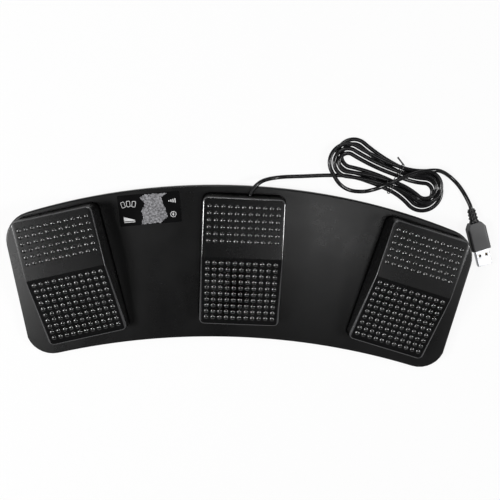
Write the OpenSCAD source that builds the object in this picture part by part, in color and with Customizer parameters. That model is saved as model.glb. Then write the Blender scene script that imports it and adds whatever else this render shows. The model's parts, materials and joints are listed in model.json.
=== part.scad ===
// Triple foot switch: three sprung pedals on one arched base, with a corded plug.
// Millimetres, +Z up, +X right, +Y to the rear. The origin is on the floor under the base's middle.

/* [Pedals] */
// Width of a pedal at its skirt
pedal_w = 68; // [64:0.5:72]
// Length of a pedal at its skirt
pedal_l = 109; // [104:0.5:115]
// Gap between neighbouring pedals at their front edges
pedal_gap = 57; // [52:0.5:64]
// Turn of each side pedal, its rear end outwards
fan = 15; // [12:0.5:17]
// How far the side pedals stand in front of the middle one
side_drop = 16; // [13:0.5:20]
// Height of the pedal's top at the front, above the base
front_rise = 10.5; // [9.5:0.1:13]
// Height of the crease above the base
crease_rise = 24; // [22:0.1:28]
// Height of the pedal's top at the rear, above the base
rear_rise = 21.5; // [20:0.1:25]
// Distance of the crease from the pedal's front edge
crease_v = 60; // [56:0.5:64]
// Lean of the pedal's walls
draft = 2.7; // [1.5:0.1:5]
// Wall of a pedal
pedal_wall = 2.4; // [1.8:0.1:2.8]
// Corner radius of the skirt
skirt_corner_r = 6; // [4:0.1:8]
// Corner radius round the pedal's top
top_corner_r = 4.6; // [3.4:0.1:6]
// Rounding of the pedal's top edge
shoulder_r = 1.1; // [0.8:0.1:2.4]
// Depth that the skirt reaches into its pocket at rest
skirt_sink = 0.6; // [0.3:0.1:1.2]
// Angle through which a pedal is pressed
press_angle = 2.4; // [1.6:0.1:2.6]

/* [Grip studs] */
// Distance from stud to stud, both ways
stud_pitch = 5.5; // [5:0.1:5.8]
// Diameter of a stud where it meets the pedal
stud_d = 4; // [3:0.1:4.6]
// Height of a stud
stud_h = 0.8; // [0.6:0.1:1.4]
// Studs across a pedal
stud_columns = 11; // [9:1:11]
// Rows of studs behind the flat band
rear_rows = 6; // [4:1:6]
// Rows of studs in front of the crease
front_rows = 10; // [8:1:10]
// Distance of the last rear row from the skirt's rear edge
rear_row_inset = 8.2; // [6:0.1:9]
// Distance of the first front row from the crease
crease_row_inset = 5; // [3:0.1:5.6]

/* [Base] */
// Radius of the rear edge
rear_arc_r = 550; // [520:5:640]
// Radius of the front edge
front_arc_r = 590; // [540:5:680]
// Base in front of the middle pedal
front_margin = 14; // [12:0.5:18]
// Base behind the middle pedal
rear_margin = 7; // [6:0.5:10]
// Base beyond the side pedals' outer rear corners, level with the rear edge's middle
end_margin = 20.5; // [19:0.5:26]
// Lean of each end of the base
end_lean = 11; // [9:0.5:13]
// Corner radius at the rear
rear_corner_r = 25; // [18:1:30]
// Corner radius at the front
front_corner_r = 22; // [16:1:26]
// Height of the base moulding
base_h = 8.5; // [8.2:0.1:11]
// Rounding of the base's top edge
edge_r = 1.3; // [0.6:0.1:2.2]
// Rim of the base moulding
base_wall = 2.4; // [1.8:0.1:2.8]
// Thickness of the base's top
base_top_t = 2.2; // [1.6:0.1:2.8]
// Gap round each skirt in its pocket
pocket_gap = 0.6; // [0.5:0.1:1.6]
// Wall of a pocket
pocket_wall = 1.8; // [1.2:0.1:2.2]
// Floor of a pocket
pocket_floor_t = 1.7; // [1.2:0.1:1.9]
// Thickness of the bottom plate
plate_t = 1.5; // [1:0.1:1.7]
// Gap round the bottom plate
plate_gap = 0.2; // [0.1:0.05:0.5]
// Height of the rubber feet
foot_h = 2; // [1.5:0.1:4]
// Diameter of the rubber feet
foot_d = 16; // [10:0.5:18]
// Width of the label plate
label_w = 51; // [40:0.5:56]
// Depth of the label plate
label_l = 25.6; // [16:0.2:28]
// Thickness of the label plate
label_t = 0.4; // [0.2:0.05:0.8]
// Turn of the label plate
label_turn = 7.5; // [0:0.5:12]

/* [Hinge and spring] */
// Distance of the hinge from the pedal's front edge
hinge_v = 10; // [9:0.1:12]
// Height of the hinge above the base's top
hinge_rise = 3.5; // [3:0.1:4.2]
// Diameter of a hinge pin
pin_d = 3; // [2.4:0.1:3.6]
// Radial play of the pedal on its pin
pin_play = 0.06; // [0.02:0.01:0.1]
// Radius of the hinge ears and lugs round the pin
ear_r = 4.6; // [4:0.1:5]
// Thickness of a hinge ear on the base
ear_t = 4; // [3:0.1:5]
// Thickness of a hinge lug on the pedal
lug_t = 5; // [4:0.1:5.6]
// Half the clear width between the hinge ears
ear_u = 19; // [16:0.1:20]
// Distance of the return spring from the pedal's front edge
spring_v = 80; // [77:0.5:83]
// Mean diameter of the return spring
spring_d = 10.8; // [9:0.1:12]
// Wire of the return spring
wire_d = 1.3; // [0.8:0.1:1.6]
// Turns of the return spring
spring_turns = 7; // [5:1:8]

/* [Switch] */
// Distance of the switch plunger from the pedal's front edge
switch_v = 34; // [33:0.1:37]
// Length of a microswitch
switch_l = 19.8; // [16:0.1:21]
// Thickness of a microswitch
switch_t = 6.4; // [5.6:0.1:7.4]
// Height of a microswitch
switch_h = 10.2; // [8.5:0.1:10.6]
// Distance of the plunger from the microswitch's middle
plunger_off = 2.6; // [0:0.1:4]
// Diameter of the plunger
plunger_d = 3; // [2.2:0.1:3.6]
// Length of the plunger above the microswitch
plunger_out = 2; // [1.8:0.1:2.4]
// Half width of a side switch board
side_board_u = 14; // [13:0.5:16]
// Half width of the controller board
main_board_u = 17; // [16:0.5:18]
// Front edge of the boards, from the pedal's front edge
board_v = 22; // [21:0.5:23]
// Depth of a side switch board
side_board_l = 30; // [29:0.5:34]
// Depth of the controller board
main_board_l = 42; // [40:0.5:43]
// Thickness of the boards
board_t = 1.6; // [1:0.1:2]
// Height of the posts under the boards
post_h = 2; // [1.6:0.1:3]

/* [Cord and plug] */
// Diameter of the cord
cord_d = 3.3; // [3:0.1:3.4]
// Where the cord leaves, to the right of the middle
cord_u = 5; // [4:0.1:6]
// Diameter of the inner leads
lead_d = 1.8; // [1.2:0.1:2.2]
// Width of the plug's moulded grip
grip_w = 15.8; // [14:0.1:16.5]
// Height of the plug's moulded grip
grip_h = 8.5; // [7.5:0.1:9]
// Length of the plug's moulded grip
grip_l = 24; // [20:0.1:27]
// Length of the plug's strain relief
relief_l = 12; // [11:0.1:13]
// Length of the plug's steel shell
shell_l = 14; // [12:0.1:19]

/* [Hidden] */
$fn = 48;
eps = 0.01;

BLACK = "#1b1b1d";
RUBBER = "#141416";
STEEL = "#c4c6c8";
LEFT = 0;
MIDDLE = 1;
RIGHT = 2;
SIDES = [-1, 1];

// Heights above the floor
z_base = foot_h;
z_plate = z_base + plate_t;
z_floor = z_plate + pocket_floor_t;
z_top = z_base + base_h;
z_skirt = z_top - skirt_sink;
z_front = z_top + front_rise;
z_crease = z_top + crease_rise;
z_rear = z_top + rear_rise;
z_hinge = z_top + hinge_rise;
z_board = z_floor + post_h;
z_switch = z_board + board_t;
z_plunger = z_switch + switch_h + plunger_out;
cord_lift = 0.2;
z_cord = z_top + cord_d / 2 + cord_lift;

// Base outline, first measured from the middle of its rear edge
base_depth = front_margin + pedal_l + rear_margin;
side_x = pedal_w + pedal_gap;
base_half_w = side_x + pedal_w / 2 * cos(fan) + pedal_l * sin(fan) + end_margin;
end_out = [cos(end_lean), -sin(end_lean)];
end_along = [sin(end_lean), cos(end_lean)];
end_reach = base_half_w * cos(end_lean);
rear_centre = [0, -rear_arc_r];
front_centre = [0, -base_depth - front_arc_r];
rear_corner = corner_centre(rear_centre, rear_arc_r - rear_corner_r, rear_corner_r);
front_corner = corner_centre(front_centre, front_arc_r + front_corner_r, front_corner_r);
crown_y = (front_corner_r - front_corner.y) / 2;
crown = [0, crown_y];

// Centre of a corner that touches an end line and the arc about centre
function corner_centre(centre, reach, r) =
    let (foot = end_out * (end_reach - r), q = foot - centre, b = q * end_along)
    foot + end_along * (sqrt(b * b - q * q + reach * reach) - b);
function bearing(from, to) = atan2(to.y - from.y, to.x - from.x);
function arc(centre, r, a, b, steps) =
    [for (k = [1:steps]) let (t = a + (b - a) * k / steps) centre + r * [cos(t), sin(t)]];

// Outline of the base drawn in by d, clockwise from the middle of its rear edge
arc_steps = 16;
corner_steps = 8;
function half_outline(d) = concat(
    [[0, -d]],
    arc(rear_centre, rear_arc_r - d, 90, bearing(rear_centre, rear_corner), arc_steps),
    arc(rear_corner, rear_corner_r - d, bearing(rear_centre, rear_corner), -end_lean, corner_steps),
    arc(front_corner, front_corner_r - d, -end_lean, bearing(front_corner, front_centre), corner_steps),
    arc(front_centre, front_arc_r + d, bearing(front_centre, front_corner), 90, arc_steps)
);
function base_outline(d) =
    let (half = half_outline(d), last = len(half) - 1)
    [for (p = concat(half, [for (k = [last - 1:-1:1]) [-half[k].x, half[k].y]])) p + crown];
function rear_edge_y(x) = crown_y - rear_arc_r + sqrt(rear_arc_r * rear_arc_r - x * x);
function front_edge_y(x) = crown_y + front_centre.y + sqrt(front_arc_r * front_arc_r - x * x);
function end_x(y) = base_half_w + (y - crown_y) * tan(end_lean);

// Solid through rings of points that lie clockwise seen from above, lowest ring first
module loft(rings) {
    n = len(rings[0]);
    top = (len(rings) - 1) * n;
    polyhedron(
        points = [for (ring = rings) for (p = ring) p],
        faces = concat(
            [[for (k = [n - 1:-1:0]) k], [for (k = [0:n - 1]) top + k]],
            [for (i = [0:len(rings) - 2]) for (k = [0:n - 1])
                let (a = i * n + k, b = i * n + (k + 1) % n) [a, b, b + n, a + n]]
        )
    );
}
function level(points, z) = [for (p = points) [p.x, p.y, z]];

// Slab with the base's outline drawn in by d, its top edge rounded by r
round_steps = 3;
module base_slab(z0, z1, d, r) {
    rounding = [for (k = [0:round_steps]) let (t = 90 * k / round_steps)
        level(base_outline(d + r * (1 - cos(t))), z1 - r * (1 - sin(t)))];
    straight = [level(base_outline(d), z1)];
    loft(concat([level(base_outline(d), z0)], r > 0 ? rounding : straight));
}

// Stations: u runs across a pedal, v back from its front edge
station_turn = [fan, 0, -fan];
station_x = [-side_x, 0, side_x];
middle_y = crown_y - base_depth + front_margin;
station_y = [middle_y - side_drop, middle_y, middle_y - side_drop];
function at(i, u, v, z) = [
    station_x[i] + u * cos(station_turn[i]) - v * sin(station_turn[i]),
    station_y[i] + u * sin(station_turn[i]) + v * cos(station_turn[i]),
    z
];
module at_station(i) translate([station_x[i], station_y[i], 0]) rotate(station_turn[i]) children();

// Tube along a path: rings of points joined by triangles
function unit(p) = p / norm(p);
function heading(path, i) = unit(path[min(i + 1, len(path) - 1)] - path[max(i - 1, 0)]);
function tube_ring(p, dir, r, sides) =
    let (left = unit(cross([0, 0, 1], dir)), up = cross(dir, left))
    [for (k = [0:sides - 1]) let (t = 360 * (k + 0.5) / sides) p + r * (cos(t) * left + sin(t) * up)];
module tube(path, d, sides) {
    last = (len(path) - 1) * sides;
    polyhedron(
        points = [for (i = [0:len(path) - 1]) each tube_ring(path[i], heading(path, i), d / 2, sides)],
        faces = concat(
            [for (k = [1:sides - 2]) [0, k, k + 1]],
            [for (k = [1:sides - 2]) [last, last + k + 1, last + k]],
            [for (i = [0:len(path) - 2]) for (k = [0:sides - 1])
                let (a = i * sides + k, b = i * sides + (k + 1) % sides)
                each [[a, a + sides, b + sides], [a, b + sides, b]]]
        )
    );
}
// Least distance between points of a path that are at least skip apart along it
function least_gap(path, skip, d) =
    let (last = len(path) - 1)
    min([for (i = [0:last - skip]) for (j = [i + skip:last]) norm(path[i] - path[j])]) - d;

// Flat shapes
module rounded_rect(w, l, r) {
    square([w - 2 * r, l], center = true);
    square([w, l - 2 * r], center = true);
    for (sx = SIDES, sy = SIDES) translate([sx * (w / 2 - r), sy * (l / 2 - r)]) circle(r);
}
module block(size, at) translate([at.x - size.x / 2, at.y - size.y / 2, at.z]) cube(size);
module along_u(u0, length) translate([u0, 0, 0]) rotate([90, 0, 90]) linear_extrude(length) children();

// Pedal: two top planes that meet at the crease
front_slope = atan((z_crease - z_front) / crease_v);
rear_slope = atan((z_crease - z_rear) / (pedal_l - crease_v));
function wall_in(z) = (z - z_skirt) * tan(draft);
function front_plane(v) = z_front + v * tan(front_slope);
function rear_plane(v) = z_crease - (v - crease_v) * tan(rear_slope);
function top_plane(v) = v < crease_v ? front_plane(v) : rear_plane(v);
function underside(v) = top_plane(v) - pedal_wall / cos(v < crease_v ? front_slope : rear_slope);

form_fn = 24;
// Rounded corner of a pedal's top that touches a plane of the given slope
module top_corner(r, edge, slope) {
    drop = (edge + (r - edge) * sin(slope)) / cos(slope);
    translate([0, 0, -drop]) rotate_extrude($fn = form_fn) translate([r - edge, 0]) intersection() {
        circle(edge, $fn = form_fn);
        translate([edge - r, -edge]) square([r, 2 * edge]);
    }
}
// Body of a pedal drawn in by t on every side
module pedal_form(t, z_low, corner_r, top_r, edge) {
    half_w = pedal_w / 2 - t;
    half_low = half_w - wall_in(z_low) - corner_r;
    low_v = [t + wall_in(z_low) + corner_r, pedal_l - t - wall_in(z_low) - corner_r];
    front_v = t + wall_in(z_front) + top_r;
    rear_v = pedal_l - t - wall_in(z_rear) - top_r;
    front_top = front_plane(front_v) - t / cos(front_slope);
    rear_top = rear_plane(rear_v) - t / cos(rear_slope);
    shrink = (t + edge) / cos((front_slope + rear_slope) / 2);
    crease_shift = shrink * sin((rear_slope - front_slope) / 2);
    crease_z = z_crease - shrink * cos((rear_slope - front_slope) / 2);
    hull() for (s = SIDES) {
        for (v = low_v) translate([s * half_low, v, z_low]) cylinder(r = corner_r, h = eps, $fn = form_fn);
        translate([s * (half_w - wall_in(z_front) - top_r), front_v, front_top])
            top_corner(top_r, edge, front_slope);
        translate([s * (half_w - wall_in(z_rear) - top_r), rear_v, rear_top])
            top_corner(top_r, edge, rear_slope);
        translate([s * (half_w - wall_in(crease_z) - edge / cos(draft)), crease_v - crease_shift, crease_z])
            sphere(edge, $fn = form_fn);
    }
}

// Grip studs: round caps on both top planes
stud_ball_r = (stud_d * stud_d / 4 + stud_h * stud_h) / (2 * stud_h);
module stud_row(v, slope, lean) {
    sunk = stud_ball_r - stud_h;
    for (c = [0:stud_columns - 1])
        translate([(c - (stud_columns - 1) / 2) * stud_pitch, v, top_plane(v)])
            rotate([lean * slope, 0, 0]) translate([0, 0, -sunk]) sphere(stud_ball_r, $fn = form_fn);
}
module studs() {
    for (k = [0:front_rows - 1])
        stud_row(crease_v - (crease_row_inset + k * stud_pitch) * cos(front_slope), front_slope, 1);
    for (k = [0:rear_rows - 1])
        stud_row(pedal_l - rear_row_inset - k * stud_pitch * cos(rear_slope), rear_slope, -1);
}

// Play between pieces of the mechanism
side_play = 0.6;
stop_play = 0.4;
press_gap = 0.25;
lug_u = ear_u + ear_t + side_play;
pin_over = 1;
pin_half = lug_u + lug_t + pin_over;
function drop_at(v) = (v - hinge_v) * sin(press_angle);

// Hinge profile in a plane across u: a round end about the pin and a stem up or down to z
module hinge_profile(z) {
    translate([hinge_v, z_hinge]) circle(ear_r);
    translate([hinge_v - ear_r, min(z, z_hinge)]) square([2 * ear_r, abs(z_hinge - z)]);
}
lug_bury = 0.2;
module hinge_lugs() {
    snap_w = pin_d * 0.86;
    for (u = [-lug_u - lug_t, lug_u]) along_u(u, lug_t) difference() {
        hinge_profile(underside(hinge_v + ear_r) + lug_bury);
        translate([hinge_v, z_hinge]) circle(pin_d / 2 + pin_play);
        translate([hinge_v - snap_w / 2, z_hinge - 2 * ear_r]) square([snap_w, 2 * ear_r]);
    }
}
ear_play = 0.02;
module hinge_ears() {
    for (u = [-ear_u - ear_t, ear_u]) along_u(u, ear_t) difference() {
        hinge_profile(z_floor - eps);
        translate([hinge_v, z_hinge]) circle(pin_d / 2 + ear_play);
    }
}

// Spring seats
seat_h = 1.2;
seat_rim = 1;
spring_gap = 0.2;
spring_out = spring_d + wire_d;
guide_play = 0.4;
spring_guide_d = spring_d - wire_d - 2 * guide_play;
spring_guide_h = 4;
z_seat = underside(spring_v + spring_out / 2) - seat_h;
module spring_seat() {
    bury = 1;
    translate([0, spring_v, z_seat]) cylinder(d = spring_out + 2 * seat_rim, h = seat_h + bury);
    translate([0, spring_v, z_seat - spring_guide_h])
        cylinder(d = spring_guide_d, h = spring_guide_h + eps);
}

// Presser over the plunger
presser_d = 5;
module presser() {
    low = z_plunger + press_gap;
    translate([0, switch_v, low]) cylinder(d = presser_d, h = underside(switch_v) + pedal_wall / 2 - low);
}

// Bump stops limit the press, hooks limit the return
stop_d = 8;
stop_h = 5;
stop_u = 24;
stop_in = 8;
stop_v = pedal_l - stop_in;
stop_cone = 1;
hook_u = 22;
hook_w = 5;
hook_t = 1.8;
hook_barb = 1.6;
catch_t = 2;
catch_w = 10;
catch_in = 17;
catch_v = pedal_l - catch_in;
catch_sill = 2;
catch_window_w = hook_w + 2 * side_play;
barb_rise = 9.4;
z_barb = z_floor + barb_rise;
barb_h = 1.9;
z_window = z_barb + barb_h + stop_play;
catch_head = 4;
module stop_posts() {
    low = z_floor + stop_h + drop_at(stop_v) + stop_play;
    for (s = SIDES) translate([s * stop_u, stop_v, low])
        cylinder(d = stop_d - 2 * stop_cone, h = underside(stop_v) + pedal_wall / 2 - low);
}
module hooks() {
    leg_v = catch_v + catch_t + stop_play;
    top = underside(leg_v) + pedal_wall / 2;
    for (s = SIDES) translate([s * hook_u - hook_w / 2, 0, z_barb]) {
        translate([0, leg_v, 0]) cube([hook_w, hook_t, top - z_barb]);
        translate([0, leg_v - hook_barb, 0]) cube([hook_w, hook_barb + eps, barb_h]);
    }
}
module catches() {
    for (s = SIDES) difference() {
        block([catch_w, catch_t, z_window + catch_head - z_floor + eps],
            [s * hook_u, catch_v + catch_t / 2, z_floor - eps]);
        block([catch_window_w, 3 * catch_t, z_window - z_floor - catch_sill],
            [s * hook_u, catch_v + catch_t / 2, z_floor + catch_sill]);
    }
}

// Way out for the cord through the middle pedal's rear skirt
notch_play = 1.3;
notch_w = cord_d + 2 * notch_play;
notch_top = z_cord + cord_d / 2 + drop_at(pedal_l) + notch_play;
module cord_notch() {
    translate([cord_u, pedal_l - 4 * pedal_wall, 0]) rotate([-90, 0, 0]) linear_extrude(8 * pedal_wall) {
        translate([0, notch_w / 2 - notch_top]) circle(d = notch_w);
        translate([-notch_w / 2, notch_w / 2 - notch_top]) square([notch_w, notch_top]);
    }
}

module pedal(i) at_station(i) difference() {
    union() {
        difference() {
            union() {
                pedal_form(0, z_skirt, skirt_corner_r, top_corner_r, shoulder_r);
                studs();
            }
            pedal_form(pedal_wall, z_skirt - 1, skirt_corner_r - pedal_wall, 2, 1);
        }
        hinge_lugs();
        spring_seat();
        presser();
        stop_posts();
        hooks();
    }
    if (i == MIDDLE) cord_notch();
}

// Boards and their posts
board_inset = 3;
post_d = 5;
screw_d = 2;
screw_play = 0.02;
function board_u(i) = i == MIDDLE ? main_board_u : side_board_u;
function board_l(i) = i == MIDDLE ? main_board_l : side_board_l;
function board_corners(i) = [for (s = SIDES, v = [board_inset, board_l(i) - board_inset])
    [s * (board_u(i) - board_inset), board_v + v]];
module board_posts(i) {
    for (p = board_corners(i)) translate([p.x, p.y, z_floor - eps]) difference() {
        cylinder(d = post_d, h = post_h + eps);
        translate([0, 0, eps]) cylinder(d = screw_d + 2 * screw_play, h = post_h + 1);
    }
}

// Upstand that holds the cord's grommet
upstand_t = 2;
upstand_w = 12;
upstand_in = 8;
upstand_v = pedal_l - upstand_in;
flange_d = 8;
flange_t = 1.4;
neck_d = 5.2;
neck_play = 0.1;
module grommet_upstand() {
    translate([cord_u, upstand_v + upstand_t, 0]) rotate([90, 0, 0])
        linear_extrude(upstand_t) difference() {
            union() {
                translate([0, z_cord]) circle(d = upstand_w);
                translate([-upstand_w / 2, z_floor - eps]) square([upstand_w, z_cord - z_floor]);
            }
            translate([0, z_cord]) circle(d = neck_d + 2 * neck_play);
        }
}

// Base moulding: a shell open below, with three pockets
boss_d = 7;
plate_screw_d = 2.8;
plate_screw_l = 5;
screw_end_gap = 0.2;
gap_middle_x = pedal_w / 2 + pedal_gap / 2 - 1;
screw_in = 40;
end_screw_share = [0.23, 0.6];
function pocket_side(s, v) = at(s > 0 ? RIGHT : LEFT, s * (pedal_w / 2 + pocket_gap), v, 0);
function end_spot(s, v) = let (p = pocket_side(s, v)) [(p.x + s * end_x(p.y)) / 2, p.y];
plate_screw_spots = [for (s = SIDES) each [
    [s * gap_middle_x, rear_edge_y(gap_middle_x) - screw_in],
    [s * gap_middle_x, front_edge_y(gap_middle_x) + screw_in],
    end_spot(s, pedal_l * end_screw_share[0]),
    end_spot(s, pedal_l * end_screw_share[1])
]];
slot_w = lead_d + 2;
slot_h = lead_d + 1.4;
slot_v_side = 47;
slot_v_middle = 50;
module lead_slot(u, v) block([4 * pocket_wall, slot_w, slot_h], [u, v, z_floor]);
module pocket_block(grow, z0, z1) translate([0, pedal_l / 2, z0]) linear_extrude(z1 - z0)
    rounded_rect(pedal_w + 2 * grow, pedal_l + 2 * grow, skirt_corner_r + grow);
pocket_u = pedal_w / 2 + pocket_gap + pocket_wall / 2;

module base_shell() color(BLACK) {
    difference() {
        union() {
            difference() {
                base_slab(z_base, z_top, 0, edge_r);
                base_slab(z_base - 1, z_top - base_top_t, base_wall, 0);
            }
            for (i = [LEFT:RIGHT]) at_station(i)
                pocket_block(pocket_gap + pocket_wall, z_plate, z_top - base_top_t + eps);
            for (p = plate_screw_spots) translate([p.x, p.y, z_plate])
                cylinder(d = boss_d, h = z_top - base_top_t - z_plate + eps);
        }
        for (i = [LEFT:RIGHT]) at_station(i) pocket_block(pocket_gap, z_floor, z_top + 1);
        for (p = plate_screw_spots) translate([p.x, p.y, z_plate - 1])
            cylinder(d = plate_screw_d + 2 * screw_play, h = plate_screw_l - plate_t + 1 + screw_end_gap);
        at_station(LEFT) lead_slot(pocket_u, slot_v_side);
        at_station(RIGHT) lead_slot(-pocket_u, slot_v_side);
        for (s = SIDES) at_station(MIDDLE) lead_slot(s * pocket_u, slot_v_middle);
    }
    for (i = [LEFT:RIGHT]) at_station(i) {
        hinge_ears();
        catches();
        board_posts(i);
        translate([0, spring_v, z_floor - eps]) cylinder(d = spring_guide_d, h = spring_guide_h);
    }
    at_station(MIDDLE) grommet_upstand();
}

// Bottom plate, feet and screws
plate_hole_play = 0.2;
module bottom_plate() color(BLACK) difference() {
    base_slab(z_base, z_plate, base_wall + plate_gap, 0);
    for (p = plate_screw_spots) translate([p.x, p.y, z_base - 1])
        cylinder(d = plate_screw_d + 2 * plate_hole_play, h = plate_t + 2);
}
foot_in = 6;
foot_dome = 0.4;
foot_spots = [for (s = SIDES) each [
    [s * rear_corner.x, rear_corner.y + crown_y],
    [s * front_corner.x, front_corner.y + crown_y],
    [s * gap_middle_x, rear_edge_y(gap_middle_x) - base_wall - foot_in - foot_d / 2],
    [s * gap_middle_x, front_edge_y(gap_middle_x) + base_wall + foot_in + foot_d / 2]
]];
module rubber_feet() color(RUBBER) for (p = foot_spots) translate([p.x, p.y, 0]) {
    cylinder(d1 = foot_d - 2 * foot_dome, d2 = foot_d, h = foot_dome);
    translate([0, 0, foot_dome]) cylinder(d = foot_d, h = foot_h - foot_dome);
}
head_d = 5.4;
head_h = 1.2;
module plate_screws() color(STEEL) for (p = plate_screw_spots) translate([p.x, p.y, z_base]) {
    translate([0, 0, -head_h]) cylinder(d = head_d, h = head_h);
    cylinder(d = plate_screw_d, h = plate_screw_l);
}
label_out = 15;
label_x = pedal_w / 2 + pedal_gap / 2 + label_out;
label_in = 4;
label_r = 1;
module label_plate() color("#0d0d0f")
    translate([-label_x, rear_edge_y(label_x) - label_in - label_l / 2, z_top])
        rotate(label_turn) linear_extrude(label_t) rounded_rect(label_w, label_l, label_r);

// Mechanism of one station
module hinge_pin(i) color(STEEL) at_station(i)
    translate([-pin_half, hinge_v, z_hinge]) rotate([0, 90, 0]) cylinder(d = pin_d, h = 2 * pin_half);

curl_rings = 8;
curl_sides = 6;
spring_z0 = z_floor + wire_d / 2 + spring_gap;
spring_z1 = z_seat - wire_d / 2 - spring_gap;
spring_rise = (spring_z1 - spring_z0) / (spring_turns * curl_rings);
spring_path = [for (k = [0:spring_turns * curl_rings])
    let (t = 360 * k / curl_rings)
    [spring_d / 2 * cos(t), spring_d / 2 * sin(t), spring_z0 + spring_rise * k]];
module return_spring(i) color(STEEL) at_station(i)
    translate([0, spring_v, 0]) tube(spring_path, wire_d, curl_sides);

module bump_stops(i) color(RUBBER) at_station(i) for (s = SIDES) translate([s * stop_u, stop_v, z_floor]) {
    cylinder(d = stop_d, h = stop_h - stop_cone);
    translate([0, 0, stop_h - stop_cone]) cylinder(d1 = stop_d, d2 = stop_d - 2 * stop_cone, h = stop_cone);
}

plunger_in = 4;
plunger_play = 0.1;
plunger_travel = drop_at(switch_v);
terminal_d = 1;
terminal_l = 2.8;
terminal_spots = [-8, 0, 8];
mount_hole_d = 2.3;
mount_hole_u = 4.75;
mount_hole_rise = 2.9;
collar_wall = 1;
collar_h = 0.4;
module switch_body(i) color("#232326") at_station(i) difference() {
    union() {
        block([switch_l, switch_t, switch_h], [plunger_off, switch_v, z_switch]);
        translate([0, switch_v, z_switch + switch_h - eps])
            cylinder(d = plunger_d + 2 * collar_wall, h = collar_h);
    }
    translate([0, switch_v, z_switch + switch_h - plunger_in - plunger_travel - stop_play])
        cylinder(d = plunger_d + 2 * plunger_play, h = switch_h);
    for (s = SIDES)
        translate([plunger_off + s * mount_hole_u, switch_v + switch_t, z_switch + mount_hole_rise])
            rotate([90, 0, 0]) cylinder(d = mount_hole_d, h = 2 * switch_t);
}
module switch_plunger(i) color("#a33028") at_station(i)
    translate([0, switch_v, z_plunger - plunger_out - plunger_in])
        cylinder(d = plunger_d, h = plunger_in + plunger_out);
module switch_terminals(i) color("#c9a24a") at_station(i) for (u = terminal_spots)
    translate([plunger_off + u, switch_v, z_switch - terminal_l]) cylinder(d = terminal_d, h = terminal_l);

hole_play = 0.1;
module circuit_board(i) color("#1f5a3a") at_station(i) difference() {
    block([2 * board_u(i), board_l(i), board_t], [0, board_v + board_l(i) / 2, z_board]);
    for (p = board_corners(i)) translate([p.x, p.y, z_board - 1])
        cylinder(d = screw_d + 4 * hole_play, h = board_t + 2);
    for (u = terminal_spots) translate([plunger_off + u, switch_v, z_board - 1])
        cylinder(d = terminal_d + 2 * hole_play, h = board_t + 2);
}
board_head_d = 3.6;
board_head_h = 1.3;
module board_screws() color(STEEL) for (i = [LEFT:RIGHT]) at_station(i) for (p = board_corners(i)) {
    translate([p.x, p.y, z_floor + eps]) cylinder(d = screw_d, h = post_h + board_t - eps);
    translate([p.x, p.y, z_switch]) cylinder(d = board_head_d, h = board_head_h);
}

// Controller chip and the connectors on the boards
chip_size = [10, 7.6, 2];
chip_u = -2;
chip_v = board_v + main_board_l * 0.55;
can_u = 9;
can_d = 5;
can_h = 7;
module controller_chip() color("#202022") at_station(MIDDLE) {
    block(chip_size, [chip_u, chip_v, z_switch]);
    translate([can_u, chip_v, z_switch]) cylinder(d = can_d, h = can_h);
}
plug_in = [5, 6, 4.2];
header_in = 3;
main_header_back = 13;
side_header_back = 8.6;
main_header_v = board_v + main_board_l - main_header_back;
side_header_v = board_v + side_board_l - side_header_back;
z_header = z_switch + plug_in.z / 2;
cord_header = [8, 6.5, 5];
cord_header_back = 0.2;
cord_header_v = board_v + main_board_l - cord_header.y / 2 - cord_header_back;
module lead_connectors() color("#e8e4d8") {
    for (s = SIDES) {
        at_station(MIDDLE)
            block(plug_in, [s * (main_board_u - header_in), main_header_v, z_switch]);
        at_station(s < 0 ? LEFT : RIGHT)
            block(plug_in, [-s * (side_board_u - header_in), side_header_v, z_switch]);
    }
    at_station(MIDDLE) block(cord_header, [cord_u, cord_header_v, z_switch]);
}

// Inner leads from the side boards to the controller board, along the pocket floors and the bottom plate
lead_lift = 0.2;
z_lead_floor = z_floor + lead_d / 2 + lead_lift;
z_lead_plate = z_plate + lead_d / 2 + lead_lift;
wall_u = pedal_w / 2 + pocket_gap;
function lead_path(s) = let (side = s < 0 ? LEFT : RIGHT, out = side_board_u - header_in + plug_in.x / 2,
        inn = main_board_u - header_in + plug_in.x / 2, v_in = main_header_v) [
    at(side, -s * out, side_header_v, z_header),
    at(side, -s * (out + 3), side_header_v, z_header),
    at(side, -s * (out + 6), side_header_v + 2, z_header - 1),
    at(side, -s * (out + 10), side_header_v + 3.5, z_lead_floor),
    at(side, -s * (wall_u - 3), slot_v_side, z_lead_floor),
    at(side, -s * (wall_u + 2), slot_v_side, z_lead_floor),
    at(side, -s * (wall_u + 8), slot_v_side + 0.5, z_lead_plate),
    at(MIDDLE, s * (wall_u + 8), slot_v_middle, z_lead_plate),
    at(MIDDLE, s * (wall_u + 2), slot_v_middle, z_lead_floor),
    at(MIDDLE, s * (wall_u - 3), slot_v_middle, z_lead_floor),
    at(MIDDLE, s * (inn + 6), v_in + 1, z_header - 1),
    at(MIDDLE, s * (inn + 3), v_in, z_header),
    at(MIDDLE, s * inn, v_in, z_header)
];
lead_sides = 8;
module switch_lead(s) color("#8a2222") tube(lead_path(s), lead_d, lead_sides);

// Grommet and the cord's inner stretch
bore_play = 0.1;
grommet_in = upstand_v - flange_t;
grommet_out = upstand_v + upstand_t + flange_t;
module cord_grommet() color(RUBBER) at_station(MIDDLE)
    translate([cord_u, grommet_in, z_cord]) rotate([-90, 0, 0]) rotate_extrude() difference() {
        union() {
            square([flange_d / 2, flange_t]);
            translate([0, flange_t - eps]) square([neck_d / 2, upstand_t + 2 * eps]);
            translate([0, flange_t + upstand_t]) square([flange_d / 2, flange_t]);
        }
        translate([0, -1]) square([cord_d / 2 + bore_play, 2 * flange_t + upstand_t + 2]);
    }
cord_sides = 8;
inner_clear = 2;
inner_swing = spring_out / 2 + cord_d / 2 + inner_clear;
z_cord_header = z_switch + cord_header.z / 2;
inner_v = cord_header_v + cord_header.y / 2;
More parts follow.
